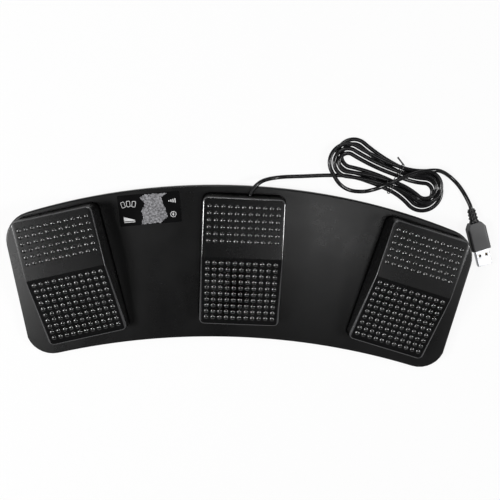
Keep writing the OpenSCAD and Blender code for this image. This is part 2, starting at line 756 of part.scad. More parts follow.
// Swing beside the spring and climb, as shares, at shares of the way from the header to the grommet
inner_way = [0, 0.084, 0.19, 0.3, 0.4, 0.55, 0.68, 0.8, 0.9, 0.96, 1];
inner_side = [0, 0, 0.34, 0.77, 0.98, 1, 0.85, 0.47, 0.13, 0.01, 0];
inner_climb = [0, 0, 0.1, 0.5, 0.9, 1, 1, 1, 1, 1, 1];
inner_path = concat(
    [for (k = [0:len(inner_way) - 1]) at(MIDDLE,
        cord_u + (inner_swing - cord_u) * inner_side[k],
        inner_v + (grommet_in - inner_v) * inner_way[k],
        z_cord_header + (z_cord - z_cord_header) * inner_climb[k])],
    [at(MIDDLE, cord_u, grommet_out, z_cord)]
);
module inner_cord() color(BLACK) tube(inner_path, cord_d, cord_sides);

// Hank: loops about two lobes, spiralling in on the lower layer and out on the upper one, which lies askew
hank_waist = [126, 87.5];
hank_turn = -23.5;
lobe_rings = 8;
run_rings = 4;
half_loop = lobe_rings + run_rings;
loop_rings = 2 * half_loop;
hank_sides = 6;
loop_gap = 0.6;
loop_pitch = cord_d + loop_gap;
waist_half = 2.1;
first_ring = 21;
climb_ring = 59;
last_ring = 117;
tie_t = 0.8;
tie_play = 0.25;
waist_lift = tie_t + tie_play;
lift_reach = 22;
// Right and left lobe of the lower layer, then of the upper one
lobe_r = [[7.2, 7], [6.8, 6.8]];
lobe_reach = [[26.8, 40.5], [25.8, 43]];
layer_turn = [0, 8];
function run_radius(reach, r) = (reach * reach + waist_half * waist_half - r * r) / (2 * (r - waist_half));
run_r = [for (j = [0, 1]) [for (k = [0, 1]) run_radius(lobe_reach[j][k], lobe_r[j][k])]];
run_angle = [for (j = [0, 1]) [for (k = [0, 1]) atan(lobe_reach[j][k] / (waist_half + run_r[j][k]))]];
// Point of layer j's loop at ring q, drawn out by grow: right lobe, rear run, left lobe, front run
function lobe_point(j, k, a, grow) =
    (1 - 2 * k) * ([lobe_reach[j][k], 0] + (lobe_r[j][k] + grow) * [cos(a), sin(a)]);
function run_point(j, k, a, side, grow) =
    let (r = run_r[j][k] - grow)
    [(1 - 2 * k) * r * sin(a), side * (waist_half + run_r[j][k] - r * cos(a))];
function loop_point(j, q, grow) =
    let (k = q < half_loop ? 0 : 1, side = 1 - 2 * k, t = q - k * half_loop, a = run_angle[j])
    let (turned = 2 * t / lobe_rings - 1, along = 2 * (t - lobe_rings) / run_rings)
    along < 0 ? lobe_point(j, k, turned * (90 + a[k]), grow) :
    along < 1 ? run_point(j, k, a[k] * (1 - along), side, grow) :
    run_point(j, 1 - k, a[1 - k] * (along - 1), side, grow);
function spiral_in(k) = (climb_ring - k) / loop_rings;
function spiral_out(k) = (k - climb_ring - run_rings) / loop_rings;
function hank_grow(k) = loop_pitch * max(spiral_in(k), spiral_out(k), 0);
function eased(t) = t * t * (3 - 2 * t);
function hank_climb(k) = eased(min(max((k - climb_ring) / run_rings, 0), 1));
function waist_rise(x) = waist_lift * pow(cos(90 * min(abs(x) / lift_reach, 1)), 2);
function hank_point(k) =
    let (j = k < climb_ring + run_rings / 2 ? 0 : 1, turn = hank_turn + layer_turn[j])
    let (p = loop_point(j, (first_ring + k) % loop_rings, hank_grow(k)))
    [
        hank_waist.x + p.x * cos(turn) - p.y * sin(turn),
        hank_waist.y + p.x * sin(turn) + p.y * cos(turn),
        cord_d / 2 + loop_pitch * hank_climb(k) + waist_rise(p.x)
    ];
hank_loops = [for (k = [0:last_ring]) hank_point(k)];
// Level heading of the loops at ring k, from a short step on or back
function loop_dir(k, step) =
    let (way = (hank_point(k + step) - hank_point(k)) / step)
    unit([way.x, way.y, 0]);
hank_in_dir = loop_dir(0, 0.1);
hank_out_dir = loop_dir(last_ring, -0.1);
hank_in = hank_loops[0] - hank_in_dir * cord_d;
hank_out = hank_loops[last_ring] + hank_out_dir * cord_d;
hank_path = concat([hank_in], hank_loops, [hank_out]);
module cord_hank() color(BLACK) tube(hank_path, cord_d, hank_sides);
echo(hank_least_gap = least_gap(hank_path, 8, cord_d));
echo(spring_least_gap = least_gap(spring_path, curl_rings - 2, wire_d));

// Twist tie round the waist
tie_w = 1.2;
tie_front = waist_half + 2.5 * loop_pitch + cord_d / 2 + tie_play;
tie_rear = waist_half + 2 * loop_pitch + cord_d / 2 + tie_play;
tie_low = waist_lift - tie_play - tie_t;
tie_high = waist_lift + 2 * cord_d + loop_gap + tie_play + tie_t;
tie_tail_l = 11;
tie_tail_d = 1.4;
tie_tail_turn = 66;
module tie_outline(grow) translate([(tie_rear - tie_front) / 2, (tie_low + tie_high) / 2])
    rounded_rect(tie_front + tie_rear + 2 * grow, tie_high - tie_low - 2 * tie_t + 2 * grow, 2 + grow);
module hank_tie() color("#3c3c40") translate([hank_waist.x, hank_waist.y, 0]) rotate(hank_turn) {
    along_u(-tie_w / 2, tie_w) difference() {
        tie_outline(tie_t);
        tie_outline(0);
    }
    translate([0, tie_rear + tie_t / 2, tie_high * 0.6]) rotate([-90, 0, tie_tail_turn])
        cylinder(d = tie_tail_d, h = tie_tail_l);
}

// Plug, lying on the floor beside the base's right rear corner
plug_place = [196, 53];
plug_turn = -70;
plug_dir = [cos(plug_turn), sin(plug_turn), 0];
z_plug = grip_h / 2;
plug_start = [plug_place.x, plug_place.y, z_plug];
relief_start = plug_start - plug_dir * relief_l;
module at_plug() translate(plug_start) rotate([0, 0, plug_turn]) children();
module along_plug(x0, length) translate([x0, 0, 0]) rotate([90, 0, 90]) linear_extrude(length) children();

// Free stretches of the cord: from the grommet to the hank, and from the hank to the plug
lead_route = [
    [6.3, 72.5, 12.3], [9.5, 76.7, 11.8], [14, 80, 9.6], [19.5, 81.9, 6.6], [26, 83.1, 3.6],
    [33, 84, 2], [40, 84.6, 1.7], [48, 85.2, 1.7], [56, 85.9, 1.7], [64, 86.6, 1.7], [72, 87.1, 1.7],
    [80, 87.3, 1.7], [88, 86.9, 1.7]
];
tail_route = [
    [78.7, 80.7, 5.1], [83.4, 77.4, 3.9], [89, 75.3, 2.4], [95, 74.6, 1.7], [101.5, 75, 2],
    [107.5, 76.9, 4.5], [113, 79.6, 8.6], [118.5, 82.5, 11.2], [124.5, 85.7, 11.9], [130.5, 88.7, 11.7],
    [136.5, 91.2, 11.1], [142.5, 93.2, 10.5], [148.5, 94.6, 10.3], [154.5, 95.4, 9.9], [160.5, 95.2, 7.8],
    [166.8, 93.2, 4.6], [173.2, 89.5, 2.2], [179.1, 84.6, 1.7], [184, 78.9, 1.9], [187.7, 73.2, 3]
];
cord_lead_path = concat(
    [for (out = [0, 4.6]) at(MIDDLE, cord_u, grommet_out + out, z_cord)],
    lead_route,
    [hank_in - hank_in_dir * cord_d, hank_in]
);
cord_tail_path = concat(
    [hank_out, hank_out + hank_out_dir * cord_d],
    tail_route,
    [relief_start - plug_dir * cord_d, relief_start]
);
module cord_lead() color(BLACK) tube(cord_lead_path, cord_d, cord_sides);
module cord_tail() color(BLACK) tube(cord_tail_path, cord_d, cord_sides);

relief_d0 = 5.6;
relief_d1 = 6.8;
rib_count = 4;
rib_out = 0.6;
rib_w = 1.5;
module plug_strain_relief() color(RUBBER) at_plug() translate([-relief_l, 0, 0]) rotate([0, 90, 0]) {
    cylinder(d1 = relief_d0, d2 = relief_d1, h = relief_l);
    for (k = [0:rib_count - 1]) let (share = (k + 0.4) / rib_count)
        translate([0, 0, relief_l * share])
            cylinder(d = relief_d0 + (relief_d1 - relief_d0) * share + 2 * rib_out, h = rib_w);
}
grip_corner_r = 2;
grip_neck_w = 9;
grip_taper = 5;
module grip_plan() {
    polygon([[0, -grip_neck_w / 2], [grip_taper, -grip_w / 2], [grip_l, -grip_w / 2],
        [grip_l, grip_w / 2], [grip_taper, grip_w / 2], [0, grip_neck_w / 2]]);
}
module plug_grip() color("#2c2c30") at_plug() intersection() {
    along_plug(0, grip_l) rounded_rect(grip_w, grip_h, grip_corner_r);
    translate([0, 0, -grip_h / 2]) linear_extrude(grip_h) grip_plan();
}
shell_w = 12;
shell_h = 4.5;
shell_t = 0.4;
shell_r = 0.6;
window = [2.2, 2];
window_x = 5;
window_y = 2.8;
module plug_shell() color(STEEL) at_plug() difference() {
    along_plug(grip_l, shell_l) difference() {
        rounded_rect(shell_w, shell_h, shell_r);
        rounded_rect(shell_w - 2 * shell_t, shell_h - 2 * shell_t, shell_r - shell_t / 2);
    }
    for (s = SIDES) translate([grip_l + window_x, s * window_y, 0])
        cube([window.x, window.y, 2 * shell_h], center = true);
}
insert_t = 1.9;
insert_gap = 0.1;
insert_back = 1;
module plug_insert() color("#e9e9e6") at_plug()
    translate([grip_l, shell_t + insert_gap - shell_w / 2, insert_gap + shell_t - shell_h / 2])
        cube([shell_l - insert_back, shell_w - 2 * shell_t - 2 * insert_gap, insert_t]);
contact_t = 0.2;
contact_w = 1;
contact_spots = [-3.5, -1, 1, 3.5];
module plug_contacts() color("#d8b45a") at_plug() for (y = contact_spots)
    translate([grip_l + insert_back, y - contact_w / 2, insert_gap + shell_t - shell_h / 2 + insert_t])
        cube([shell_l - 3 * insert_back, contact_w, contact_t]);

base_shell();
bottom_plate();
rubber_feet();
plate_screws();
label_plate();
color(BLACK) pedal(LEFT);  // left_pedal
color(BLACK) pedal(MIDDLE);  // middle_pedal
color(BLACK) pedal(RIGHT);  // right_pedal
hinge_pin(LEFT);  // left_hinge_pin
hinge_pin(MIDDLE);  // middle_hinge_pin
hinge_pin(RIGHT);  // right_hinge_pin
return_spring(LEFT);  // left_return_spring
return_spring(MIDDLE);  // middle_return_spring
return_spring(RIGHT);  // right_return_spring
bump_stops(LEFT);  // left_bump_stops
bump_stops(MIDDLE);  // middle_bump_stops
bump_stops(RIGHT);  // right_bump_stops
switch_body(LEFT);  // left_switch_body
switch_body(MIDDLE);  // middle_switch_body
switch_body(RIGHT);  // right_switch_body
switch_plunger(LEFT);  // left_switch_plunger
switch_plunger(MIDDLE);  // middle_switch_plunger
switch_plunger(RIGHT);  // right_switch_plunger
switch_terminals(LEFT);  // left_switch_terminals
switch_terminals(MIDDLE);  // middle_switch_terminals
switch_terminals(RIGHT);  // right_switch_terminals
circuit_board(LEFT);  // left_switch_board
circuit_board(MIDDLE);  // controller_board
circuit_board(RIGHT);  // right_switch_board
board_screws();
controller_chip();
lead_connectors();
switch_lead(-1);  // left_switch_lead
switch_lead(1);  // right_switch_lead
cord_grommet();
inner_cord();
cord_lead();
cord_hank();
cord_tail();
hank_tie();
plug_strain_relief();
plug_grip();
plug_shell();
plug_insert();
plug_contacts();
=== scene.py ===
"""Corded foot switch with three sprung pedals: its finish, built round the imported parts. Metres, +Z up."""

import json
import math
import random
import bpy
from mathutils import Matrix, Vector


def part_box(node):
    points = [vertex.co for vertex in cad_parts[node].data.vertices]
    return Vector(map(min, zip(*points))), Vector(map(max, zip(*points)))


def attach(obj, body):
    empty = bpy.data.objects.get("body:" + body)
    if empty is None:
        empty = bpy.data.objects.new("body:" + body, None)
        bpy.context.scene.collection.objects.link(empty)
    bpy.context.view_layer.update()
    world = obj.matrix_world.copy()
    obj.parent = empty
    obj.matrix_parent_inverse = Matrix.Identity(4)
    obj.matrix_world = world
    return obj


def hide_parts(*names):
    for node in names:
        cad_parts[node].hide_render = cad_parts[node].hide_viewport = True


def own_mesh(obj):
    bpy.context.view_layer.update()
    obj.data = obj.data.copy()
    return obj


bl_info = {
    "name": "Foot Switch",
    "version": (1, 0, 0),
    "blender": (4, 5, 0),
    "location": "View3D > Sidebar > Foot Switch",
    "description": "Dresses a corded foot switch with three sprung pedals",
    "category": "Object",
}

import bmesh
import bpy
from bpy.props import FloatProperty, FloatVectorProperty, IntProperty, PointerProperty
from mathutils import Matrix, Vector

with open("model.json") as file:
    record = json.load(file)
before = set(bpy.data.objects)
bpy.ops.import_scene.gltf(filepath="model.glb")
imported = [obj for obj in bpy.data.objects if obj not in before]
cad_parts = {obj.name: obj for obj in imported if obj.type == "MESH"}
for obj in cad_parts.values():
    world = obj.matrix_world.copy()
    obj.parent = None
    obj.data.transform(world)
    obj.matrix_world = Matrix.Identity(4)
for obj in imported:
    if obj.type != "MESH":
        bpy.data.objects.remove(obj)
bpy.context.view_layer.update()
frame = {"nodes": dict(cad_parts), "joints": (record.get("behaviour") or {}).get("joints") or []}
SIDES = ("left", "middle", "right")
MM = 0.001
UP = Vector((0, 0, 1))
TOUCH = 2e-6  # points of a solid that are nearer to each other than this are one
PRINT_H = 0.04  # height of the label's print in millimetres


# Stations of the pedals, taken from their hinges: u runs across a pedal, v back from its front edge

def pedal_joint(side):
    """Hinge of a pedal."""
    return next(j for j in frame["joints"] if j["name"] == f"{side}_pedal_press")


def station(side, hinge_v):
    """Placement of a pedal's own frame in the part's frame."""
    joint = pedal_joint(side)
    across = -Vector(joint["axis"])
    back = UP.cross(across)
    origin = Vector(joint["pos_m"]) - back * hinge_v
    origin.z = 0
    return Matrix.Translation(origin) @ Matrix((across, back, UP)).transposed().to_4x4()


# Sizes and finishes that a user would change

def length(name, description, default):
    return FloatProperty(name=name, description=description, default=default, unit="LENGTH", precision=5, min=0)


def count(name, description, default):
    return IntProperty(name=name, description=description, default=default, min=2)


def colour(name, description, default):
    return FloatVectorProperty(name=name, description=description, default=default, subtype="COLOR", size=3,
                               min=0, max=1)


class FootSwitchSizes(bpy.types.PropertyGroup):
    """Sizes of the dressed pieces, nearly all of them shared with the solids."""

    hinge_v: length("Hinge", "Distance of the hinge from a pedal's front edge", 10 * MM)
    front_z: length("Front height", "Height of a pedal's top plane at its front edge", 21 * MM)
    crease_z: length("Crease height", "Height of a pedal's crease", 34.5 * MM)
    rear_z: length("Rear height", "Height of a pedal's top plane at its rear edge", 32 * MM)
    crease_v: length("Crease", "Distance of the crease from a pedal's front edge", 60 * MM)
    pedal_l: length("Pedal length", "Length of a pedal at its skirt", 109 * MM)
    stud_pitch: length("Stud pitch", "Distance from grip stud to grip stud", 5.5 * MM)
    stud_d: length("Stud width", "Diameter of a grip stud where it meets the pedal", 4 * MM)
    stud_h: length("Stud height", "Height of a grip stud", 0.8 * MM)
    stud_columns: count("Stud columns", "Grip studs across a pedal", 11)
    rear_rows: count("Rear rows", "Rows of grip studs behind the flat band", 6)
    front_rows: count("Front rows", "Rows of grip studs in front of the crease", 10)
    rear_row_inset: length("Rear row inset", "Last rear row from the skirt's rear edge", 8.2 * MM)
    crease_row_inset: length("Crease row inset", "First front row from the crease", 5 * MM)
    spring_v: length("Spring", "Distance of the return spring from a pedal's front edge", 80 * MM)
    spring_d: length("Spring width", "Mean diameter of a return spring", 10.8 * MM)
    wire_d: length("Spring wire", "Wire of a return spring", 1.3 * MM)
    spring_turns: FloatProperty(name="Spring turns", description="Turns of a return spring", default=7, min=1)
    cord_d: length("Cord", "Diameter of the cord", 3.3 * MM)
    lead_d: length("Inner lead", "Diameter of the inner leads", 1.8 * MM)
    rim_ease: length("Rim ease", "Rounding of the base's pocket rims", 0.45 * MM)
    grip_ease: length("Grip ease", "Rounding of the plug's grip", 0.6 * MM)
    shell_ease: length("Shell ease", "Rounding of the plug's steel shell", 0.12 * MM)


class FootSwitchColours(bpy.types.PropertyGroup):
    """Colours of the finishes."""

    base: colour("Base", "Moulded base", (0.0045, 0.0045, 0.0047))
    pedal: colour("Pedal", "Moulded pedals", (0.0042, 0.0042, 0.0044))
    label: colour("Label", "Glossy label film", (0.003, 0.003, 0.0033))
    print: colour("Print", "Ink on the label", (0.8, 0.8, 0.8))
    cord: colour("Cord", "Cord's sheath", (0.006, 0.006, 0.0065))
    plug: colour("Plug", "Plug's moulding", (0.058, 0.058, 0.06))
    steel: colour("Steel", "Bright steel", (0.66, 0.67, 0.69))
    rubber: colour("Rubber", "Feet, stops and grommet", (0.012, 0.012, 0.012))


def sizes():
    return bpy.context.scene.foot_switch_sizes


def colours():
    return bpy.context.scene.foot_switch_colours


# Node trees

class Graph:
    """A node tree under construction."""

    def __init__(self, tree):
        self.tree = tree

    def feed(self, socket, value):
        """Links a socket to an output, or gives it a value."""
        if isinstance(value, bpy.types.NodeSocket):
            self.tree.links.new(value, socket)
        else:
            socket.default_value = value

    def add(self, kind, settings=None, **sockets):
        """Node with its settings, its sockets fed by their names."""
        node = self.tree.nodes.new(kind)
        for key, value in (settings or {}).items():
            setattr(node, key, value)
        for key, value in sockets.items():
            label = key.replace("_", " ")
            self.feed(next(s for s in node.inputs if s.name == label and s.enabled), value)
        return node

    def calc(self, operation, *values):
        """Result of one step of arithmetic."""
        node = self.add("ShaderNodeMath", {"operation": operation})
        for socket, value in zip(node.inputs, values):
            self.feed(socket, value)
        return node.outputs[0]

    def times(self, a, b):
        return self.calc("MULTIPLY", a, b)

    def height(self, place):
        """Z of a place."""
        return self.add("ShaderNodeSeparateXYZ", Vector=place).outputs["Z"]


# Materials

class Finish(Graph):
    """A material under construction: one Principled shader and what feeds it."""

    def __init__(self, name, base, roughness, metallic=0.0, specular=0.5):
        self.material = bpy.data.materials.new(name)
        self.material.use_nodes = True
        super().__init__(self.material.node_tree)
        self.shader = self.tree.nodes["Principled BSDF"]
        self.set("Base Color", (*base, 1))
        self.set("Roughness", roughness)
        self.set("Metallic", metallic)
        self.set("Specular IOR Level", specular)
        self.place = self.add("ShaderNodeTexCoord").outputs["Object"]

    def set(self, label, value):
        self.feed(self.shader.inputs[label], value)

    def noise(self, scale, detail=2.0, rough=0.5, stretch=None):
        """Clouds, about scale of them to the metre, or as many each way as stretch says."""
        place = self.place
        if stretch:
            place = self.add("ShaderNodeMapping", Scale=stretch, Vector=place).outputs[0]
        clouds = self.add("ShaderNodeTexNoise", Scale=scale, Detail=detail, Roughness=rough, Vector=place)
        return clouds.outputs["Fac"]

    def spread(self, value, low, high, start=0.3, end=0.7):
        """Value mapped from start..end to low..high."""
        return self.add("ShaderNodeMapRange", Value=value, From_Min=start, From_Max=end,
                        To_Min=low, To_Max=high).outputs["Result"]

    def between(self, value, first, second):
        """Colour that goes from first to second with value."""
        node = self.add("ShaderNodeMix", {"data_type": "RGBA"}, Factor=value)
        low, high = (s for s in node.inputs if s.type == "RGBA")
        low.default_value = (*first, 1)
        high.default_value = (*second, 1)
        return next(s for s in node.outputs if s.type == "RGBA")

    def tint(self, value, first, second):
        self.set("Base Color", self.between(value, first, second))

    def gloss(self, value, low, high):
        self.set("Roughness", self.spread(value, low, high))

    def bump(self, value, depth, strength=1.0):
        """Relief of the given depth; a second call adds to the first."""
        node = self.add("ShaderNodeBump", Strength=strength, Distance=depth, Height=value)
        normal = self.shader.inputs["Normal"]
        if normal.is_linked:
            self.feed(node.inputs["Normal"], normal.links[0].from_socket)
        self.feed(normal, node.outputs[0])


def lighter(base, share):
    """Colour times a share, no brighter than white."""
    return tuple(min(1, c * share) for c in base)


def moulded(name, base, gloss, grain, specular=0.5):
    """Moulded plastic: fine spark-eroded grain, cloudy gloss, faint paler rubbing."""
    f = Finish(name, base, gloss[0], specular=specular)
    f.tint(f.spread(f.noise(38, 4, 0.6), 0, 1, 0.45, 0.75), base, lighter(base, 1.5))
    f.gloss(f.noise(22, 5, 0.62), *gloss)
    f.bump(f.noise(2600, 2, 0.6), grain)
    f.bump(f.noise(14, 1, 0.4), depth=0.25 * MM, strength=0.12)
    return f.material


def cord_sheath(name, base):
    """Glossy drawn sheath with a soft waviness."""
    f = Finish(name, base, 0.2)
    f.gloss(f.noise(120, 3), 0.14, 0.26)
    f.tint(f.noise(60), base, lighter(base, 1.6))
    f.bump(f.noise(420), depth=0.03 * MM, strength=0.5)
    return f.material


def rubber(name, base):
    """Dull rubber with a dusty bloom."""
    f = Finish(name, base, 0.8, specular=0.3)
    f.tint(f.spread(f.noise(90, 4, 0.65), 0, 1, 0.4, 0.7), base, lighter(base, 2.4))
    f.gloss(f.noise(150, 3), 0.68, 0.9)
    f.bump(f.noise(1500), depth=0.03 * MM)
    return f.material


def drawn_steel(name, base, grain, rough=0.22):
    """Bright metal with fine lines, as many to the metre each way as grain says."""
    f = Finish(name, base, rough, metallic=1.0)
    lines = f.noise(1, 3, 0.6, grain)
    f.gloss(lines, rough * 0.7, rough * 1.6)
    f.tint(lines, lighter(base, 0.86), base)
    f.bump(lines, depth=0.01 * MM, strength=0.4)
    return f.material


def worn_smooth(name, base, rough, ior):
    """Moulding that soles have rubbed to a shine."""
    f = Finish(name, base, rough, specular=1.0)
    f.set("IOR", ior)
    f.gloss(f.noise(210, 3), rough * 0.85, rough * 1.2)
    return f.material


def plain_moulding(name, base, rough):
    """Small smooth moulding with a light orange peel."""
    f = Finish(name, base, rough)
    f.tint(f.noise(160, 3), lighter(base, 0.9), lighter(base, 1.08))
    f.gloss(f.noise(210, 3), rough * 0.85, rough * 1.2)
    f.bump(f.noise(700), depth=0.02 * MM, strength=0.4)
    return f.material


def circuit_green(name):
    """Lacquered board with paler copper tracks under the lacquer."""
    dark, pale = (0.006, 0.055, 0.02), (0.02, 0.14, 0.05)
    f = Finish(name, dark, 0.25)
    tracks = f.add("ShaderNodeTexBrick", Scale=160, Mortar_Size=0.06, Vector=f.place).outputs["Fac"]
    f.tint(tracks, dark, pale)
    f.bump(tracks, depth=0.03 * MM)
    f.gloss(f.noise(90), 0.2, 0.35)
    return f.material


def label_film(name, base):
    """Glossy film with a trace of orange peel."""
    f = Finish(name, base, 0.14)
    f.gloss(f.noise(50, 3), 0.1, 0.2)
    f.bump(f.noise(190), depth=0.02 * MM, strength=0.3)
    return f.material


def ink(name, base):
    """Screen-printed ink, a little uneven."""
    f = Finish(name, base, 0.45)
    f.tint(f.noise(500, 3), lighter(base, 0.78), base)
    return f.material


def foil(name, base):
    """Rubbed silver foil, speckled where the film shows through."""
    f = Finish(name, base, 0.4, metallic=0.4)
    specks = f.noise(620, 4, 0.8)
    f.tint(f.spread(specks, 0, 1, 0.4, 0.6), lighter(base, 0.3), lighter(base, 1.35))
    f.gloss(f.noise(300), 0.3, 0.6)
    f.bump(specks, depth=0.03 * MM, strength=0.6)
    return f.material


FINISHES = {}


def finish(key):
    """Material by its key, made once."""
    if key not in FINISHES:
        c = colours()
        makers = {
            "base": lambda: moulded("base_plastic", c.base, (0.25, 0.33), 0.008 * MM, specular=0.4),
            "pedal": lambda: moulded("pedal_plastic", c.pedal, (0.24, 0.3), 0.006 * MM, specular=0.27),
            # shoulder colour twelve times the pedal's: partly rubbed wear, partly a painted highlight line along the
            # shoulders
            "pedal_edge_wear_and_highlight": lambda: worn_smooth("rubbed_plastic", lighter(c.pedal, 12), rough=0.2, ior=1.8),
            "stud": lambda: worn_smooth("stud_plastic", c.pedal, rough=0.12, ior=1.6),
            "label": lambda: label_film("label_film", c.label),
            "print": lambda: ink("label_ink", c.print),
            "foil": lambda: foil("label_foil", (0.3, 0.298, 0.312)),
            "cord": lambda: cord_sheath("cord_sheath", c.cord),
            "lead": lambda: cord_sheath("lead_sheath", (0.012, 0.011, 0.011)),
            "rubber": lambda: rubber("soft_rubber", c.rubber),
            "steel": lambda: drawn_steel("bright_steel", c.steel, (900, 900, 40)),
            "wire": lambda: drawn_steel("spring_wire", c.steel, (1500, 1500, 1500), rough=0.26),
            "plug_steel": lambda: drawn_steel("plug_steel", lighter(c.steel, 1.25), (90, 1400, 1400), rough=0.42),
            "plug": lambda: moulded("plug_plastic", c.plug, (0.36, 0.5), 0.012 * MM),
            "tie": lambda: plain_moulding("tie_strip", (0.05, 0.05, 0.052), rough=0.3),
            "switch": lambda: plain_moulding("switch_black", (0.012, 0.012, 0.013), rough=0.4),
            "plunger": lambda: plain_moulding("plunger_red", (0.35, 0.02, 0.014), rough=0.38),
            "contact": lambda: drawn_steel("contact_brass", (0.8, 0.55, 0.22), (700, 700, 700), rough=0.28),
            "board": lambda: circuit_green("board_lacquer"),
            "pale": lambda: plain_moulding("pale_moulding", (0.72, 0.7, 0.63), rough=0.4),
        }
        FINISHES[key] = makers[key]()
    return FINISHES[key]


# Building helpers

def place(obj, body, slot, *nodes):
    """Gives a finished piece its body and hides the solids that it stands for; the slot is not used."""
    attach(obj, body)
    if nodes:
        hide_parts(*nodes)


def dress(node, key):
    """Gives a solid that stays its finish."""
    frame["nodes"][node].material_slots[0].material = finish(key)


def linked(name, data, *materials):
    """Object of the scene with its materials."""
    for material in materials:
        data.materials.append(material)
    obj = bpy.data.objects.new(name, data)
    bpy.context.scene.collection.objects.link(obj)
    return obj


def from_bmesh(name, bm, *materials):
    """Object with the faces of a bmesh, which is freed."""
    mesh = bpy.data.meshes.new(name)
    bm.to_mesh(mesh)
    bm.free()
    return linked(name, mesh, *materials)


def evaluated_mesh(obj):
    """Mesh of what an object looks like, with its modifiers or its round section."""
    graph = bpy.context.evaluated_depsgraph_get()
    return bpy.data.meshes.new_from_object(obj.evaluated_get(graph), preserve_all_data_layers=True, depsgraph=graph)


def baked(obj):
    """Turns an object's evaluated result into a plain mesh with no modifier."""
    mesh = evaluated_mesh(obj)
    obj.modifiers.clear()
    obj.data = mesh
    return obj


def baked_curve(curve):
    """Mesh object in a curve's place."""
    mesh, name = evaluated_mesh(curve), curve.name
    bpy.data.objects.remove(curve)
    return linked(name, mesh)


# Angles over which an edge is shaded sharp, in general and between two large faces, and which still is one plane
SHARP_ANGLE, CREASE_ANGLE, PLANE_ANGLE = (math.radians(a) for a in (34, 2, 0.4))
LARGE_FACE = 150 * MM ** 2


def sharpened(bm):
    """Smooth faces, with sharp edges kept sharp, and any crease between two large faces."""
    for face in bm.faces:
        face.smooth = True
    for edge in bm.edges:
        large = min((face.calc_area() for face in edge.link_faces), default=0) > LARGE_FACE
        limit = CREASE_ANGLE if large else SHARP_ANGLE
        edge.smooth = len(edge.link_faces) == 2 and edge.calc_face_angle(math.pi) < limit


def merged_copy(node):
    """Mesh of a solid with its loose triangles joined, for a piece that dresses it."""
    bm = bmesh.new()
    bm.from_mesh(frame["nodes"][node].data)
    bmesh.ops.remove_doubles(bm, verts=bm.verts, dist=TOUCH)
    return bm


def joined_flats(bm):
    """Joins triangles that lie in one plane."""
    bmesh.ops.dissolve_limit(bm, angle_limit=PLANE_ANGLE, verts=bm.verts, edges=bm.edges)
    return bm


def shell_piece(name, bm, material, edge=0.0):
    """Piece from a bmesh: edges rounded by edge, flat faces kept flat in shading."""
    sharpened(joined_flats(bm))
    obj = from_bmesh(name, bm, material)
    if edge:
        bevel = obj.modifiers.new("edge", "BEVEL")
        bevel.width = edge
        bevel.segments = 2
        bevel.limit_method = "ANGLE"
        bevel.angle_limit = math.radians(50)
    weighted = obj.modifiers.new("flat faces", "WEIGHTED_NORMAL")
    weighted.keep_sharp = True
    weighted.weight = 90
    return baked(obj)


def dressed(name, node, key, slot, edge=0.0):
    """Piece of the base in a solid's place, with the solid's form."""
    place(shell_piece(name, merged_copy(node), finish(key), edge), "base", slot, node)


def smooth_path(points, step):
    """Points of a curve through the given ones, about step apart."""
    pts = [Vector(p) for p in points]
    ext = [2 * pts[0] - pts[1], *pts, 2 * pts[-1] - pts[-2]]
    out = []
    for a, b, c, d in zip(ext, ext[1:], ext[2:], ext[3:]):
        count = max(1, round((c - b).length / step))
        for k in range(count):
            t = k / count
            out.append(0.5 * (2 * b + (c - a) * t + (2 * a - 5 * b + 4 * c - d) * t * t
                              + (3 * b - a - 3 * c + d) * t ** 3))
    return out + [pts[-1]]


def round_curve(name, points, diameter, material, resolution=4):
    """Open round curve through the points."""
    data = bpy.data.curves.new(name, "CURVE")
    data.dimensions = "3D"
    data.bevel_depth = diameter / 2
    data.bevel_resolution = resolution
    data.use_fill_caps = True
    spline = data.splines.new("POLY")
    spline.points.add(len(points) - 1)
    for point, p in zip(spline.points, points):
        point.co = (*p, 1)
    spline.use_smooth = True
    return linked(name, data, material)


def tube(name, points, diameter, key, resolution=4):
    """Round mesh piece along the points."""
    return baked_curve(round_curve(name, points, diameter, finish(key), resolution))


def joined(name, parts):
    """One piece from several meshes that share a material."""
    bm = bmesh.new()
    for part in parts:
        bm.from_mesh(part.data)
    materials = list(parts[0].data.materials)
    for part in parts:
        bpy.data.objects.remove(part)
    return from_bmesh(name, bm, *materials)


def rounded_box(w, l, r, steps=4):
    """Corner points of a rounded rectangle about the origin, counter-clockwise."""
    points = []
    for k, (sx, sy) in enumerate(((1, 1), (-1, 1), (-1, -1), (1, -1))):
        for j in range(steps + 1):
            t = math.pi / 2 * (k + j / steps)
            points.append((sx * (w / 2 - r) + r * math.cos(t), sy * (l / 2 - r) + r * math.sin(t)))
    return points


def band(bm, a, b):
    """Strip of faces between two closed rings with as many points."""
    for k in range(len(a)):
        n = (k + 1) % len(a)
        bm.faces.new((a[k], a[n], b[n], b[k]))


def plate(bm, outline, hole=None):
    """Thin flat print with the outline, or a band between it and a hole with as many points."""
    def edges(loop):
        return [[bm.verts.new((*p, z)) for p in loop] for z in (0, PRINT_H)]

    low, high = edges(outline)
    band(bm, low, high)
    if hole is None:
        bm.faces.new(high)
        bm.faces.new(low[::-1])
        return
    hole_low, hole_high = edges(hole)
    for a, b in ((high, hole_high), (hole_high, hole_low), (hole_low, low)):
        band(bm, a, b)


def shifted(points, x, y, turn=0):
    """Flat points turned by an angle and moved."""
    return [Matrix.Rotation(turn, 2) @ Vector(p) + Vector((x, y)) for p in points]


def flat_piece(name, bm, at, material):
    """Piece from thin plates drawn in millimetres, laid at a placement."""
    bm.transform(at @ Matrix.Scale(MM, 4))
    return from_bmesh(name, bm, material)


def island_middles(node):
    """Middles of the separate solids of a node, seen from above."""
    bm = merged_copy(node)
    left, found = set(bm.verts), []
    while left:
        group, front = set(), [left.pop()]
        while front:
            vert = front.pop()
            group.add(vert)
            near = {edge.other_vert(vert) for edge in vert.link_edges} & left
            left -= near
            front += near
        found.append([(min(v.co[i] for v in group) + max(v.co[i] for v in group)) / 2 for i in range(2)])
    bm.free()
    return found


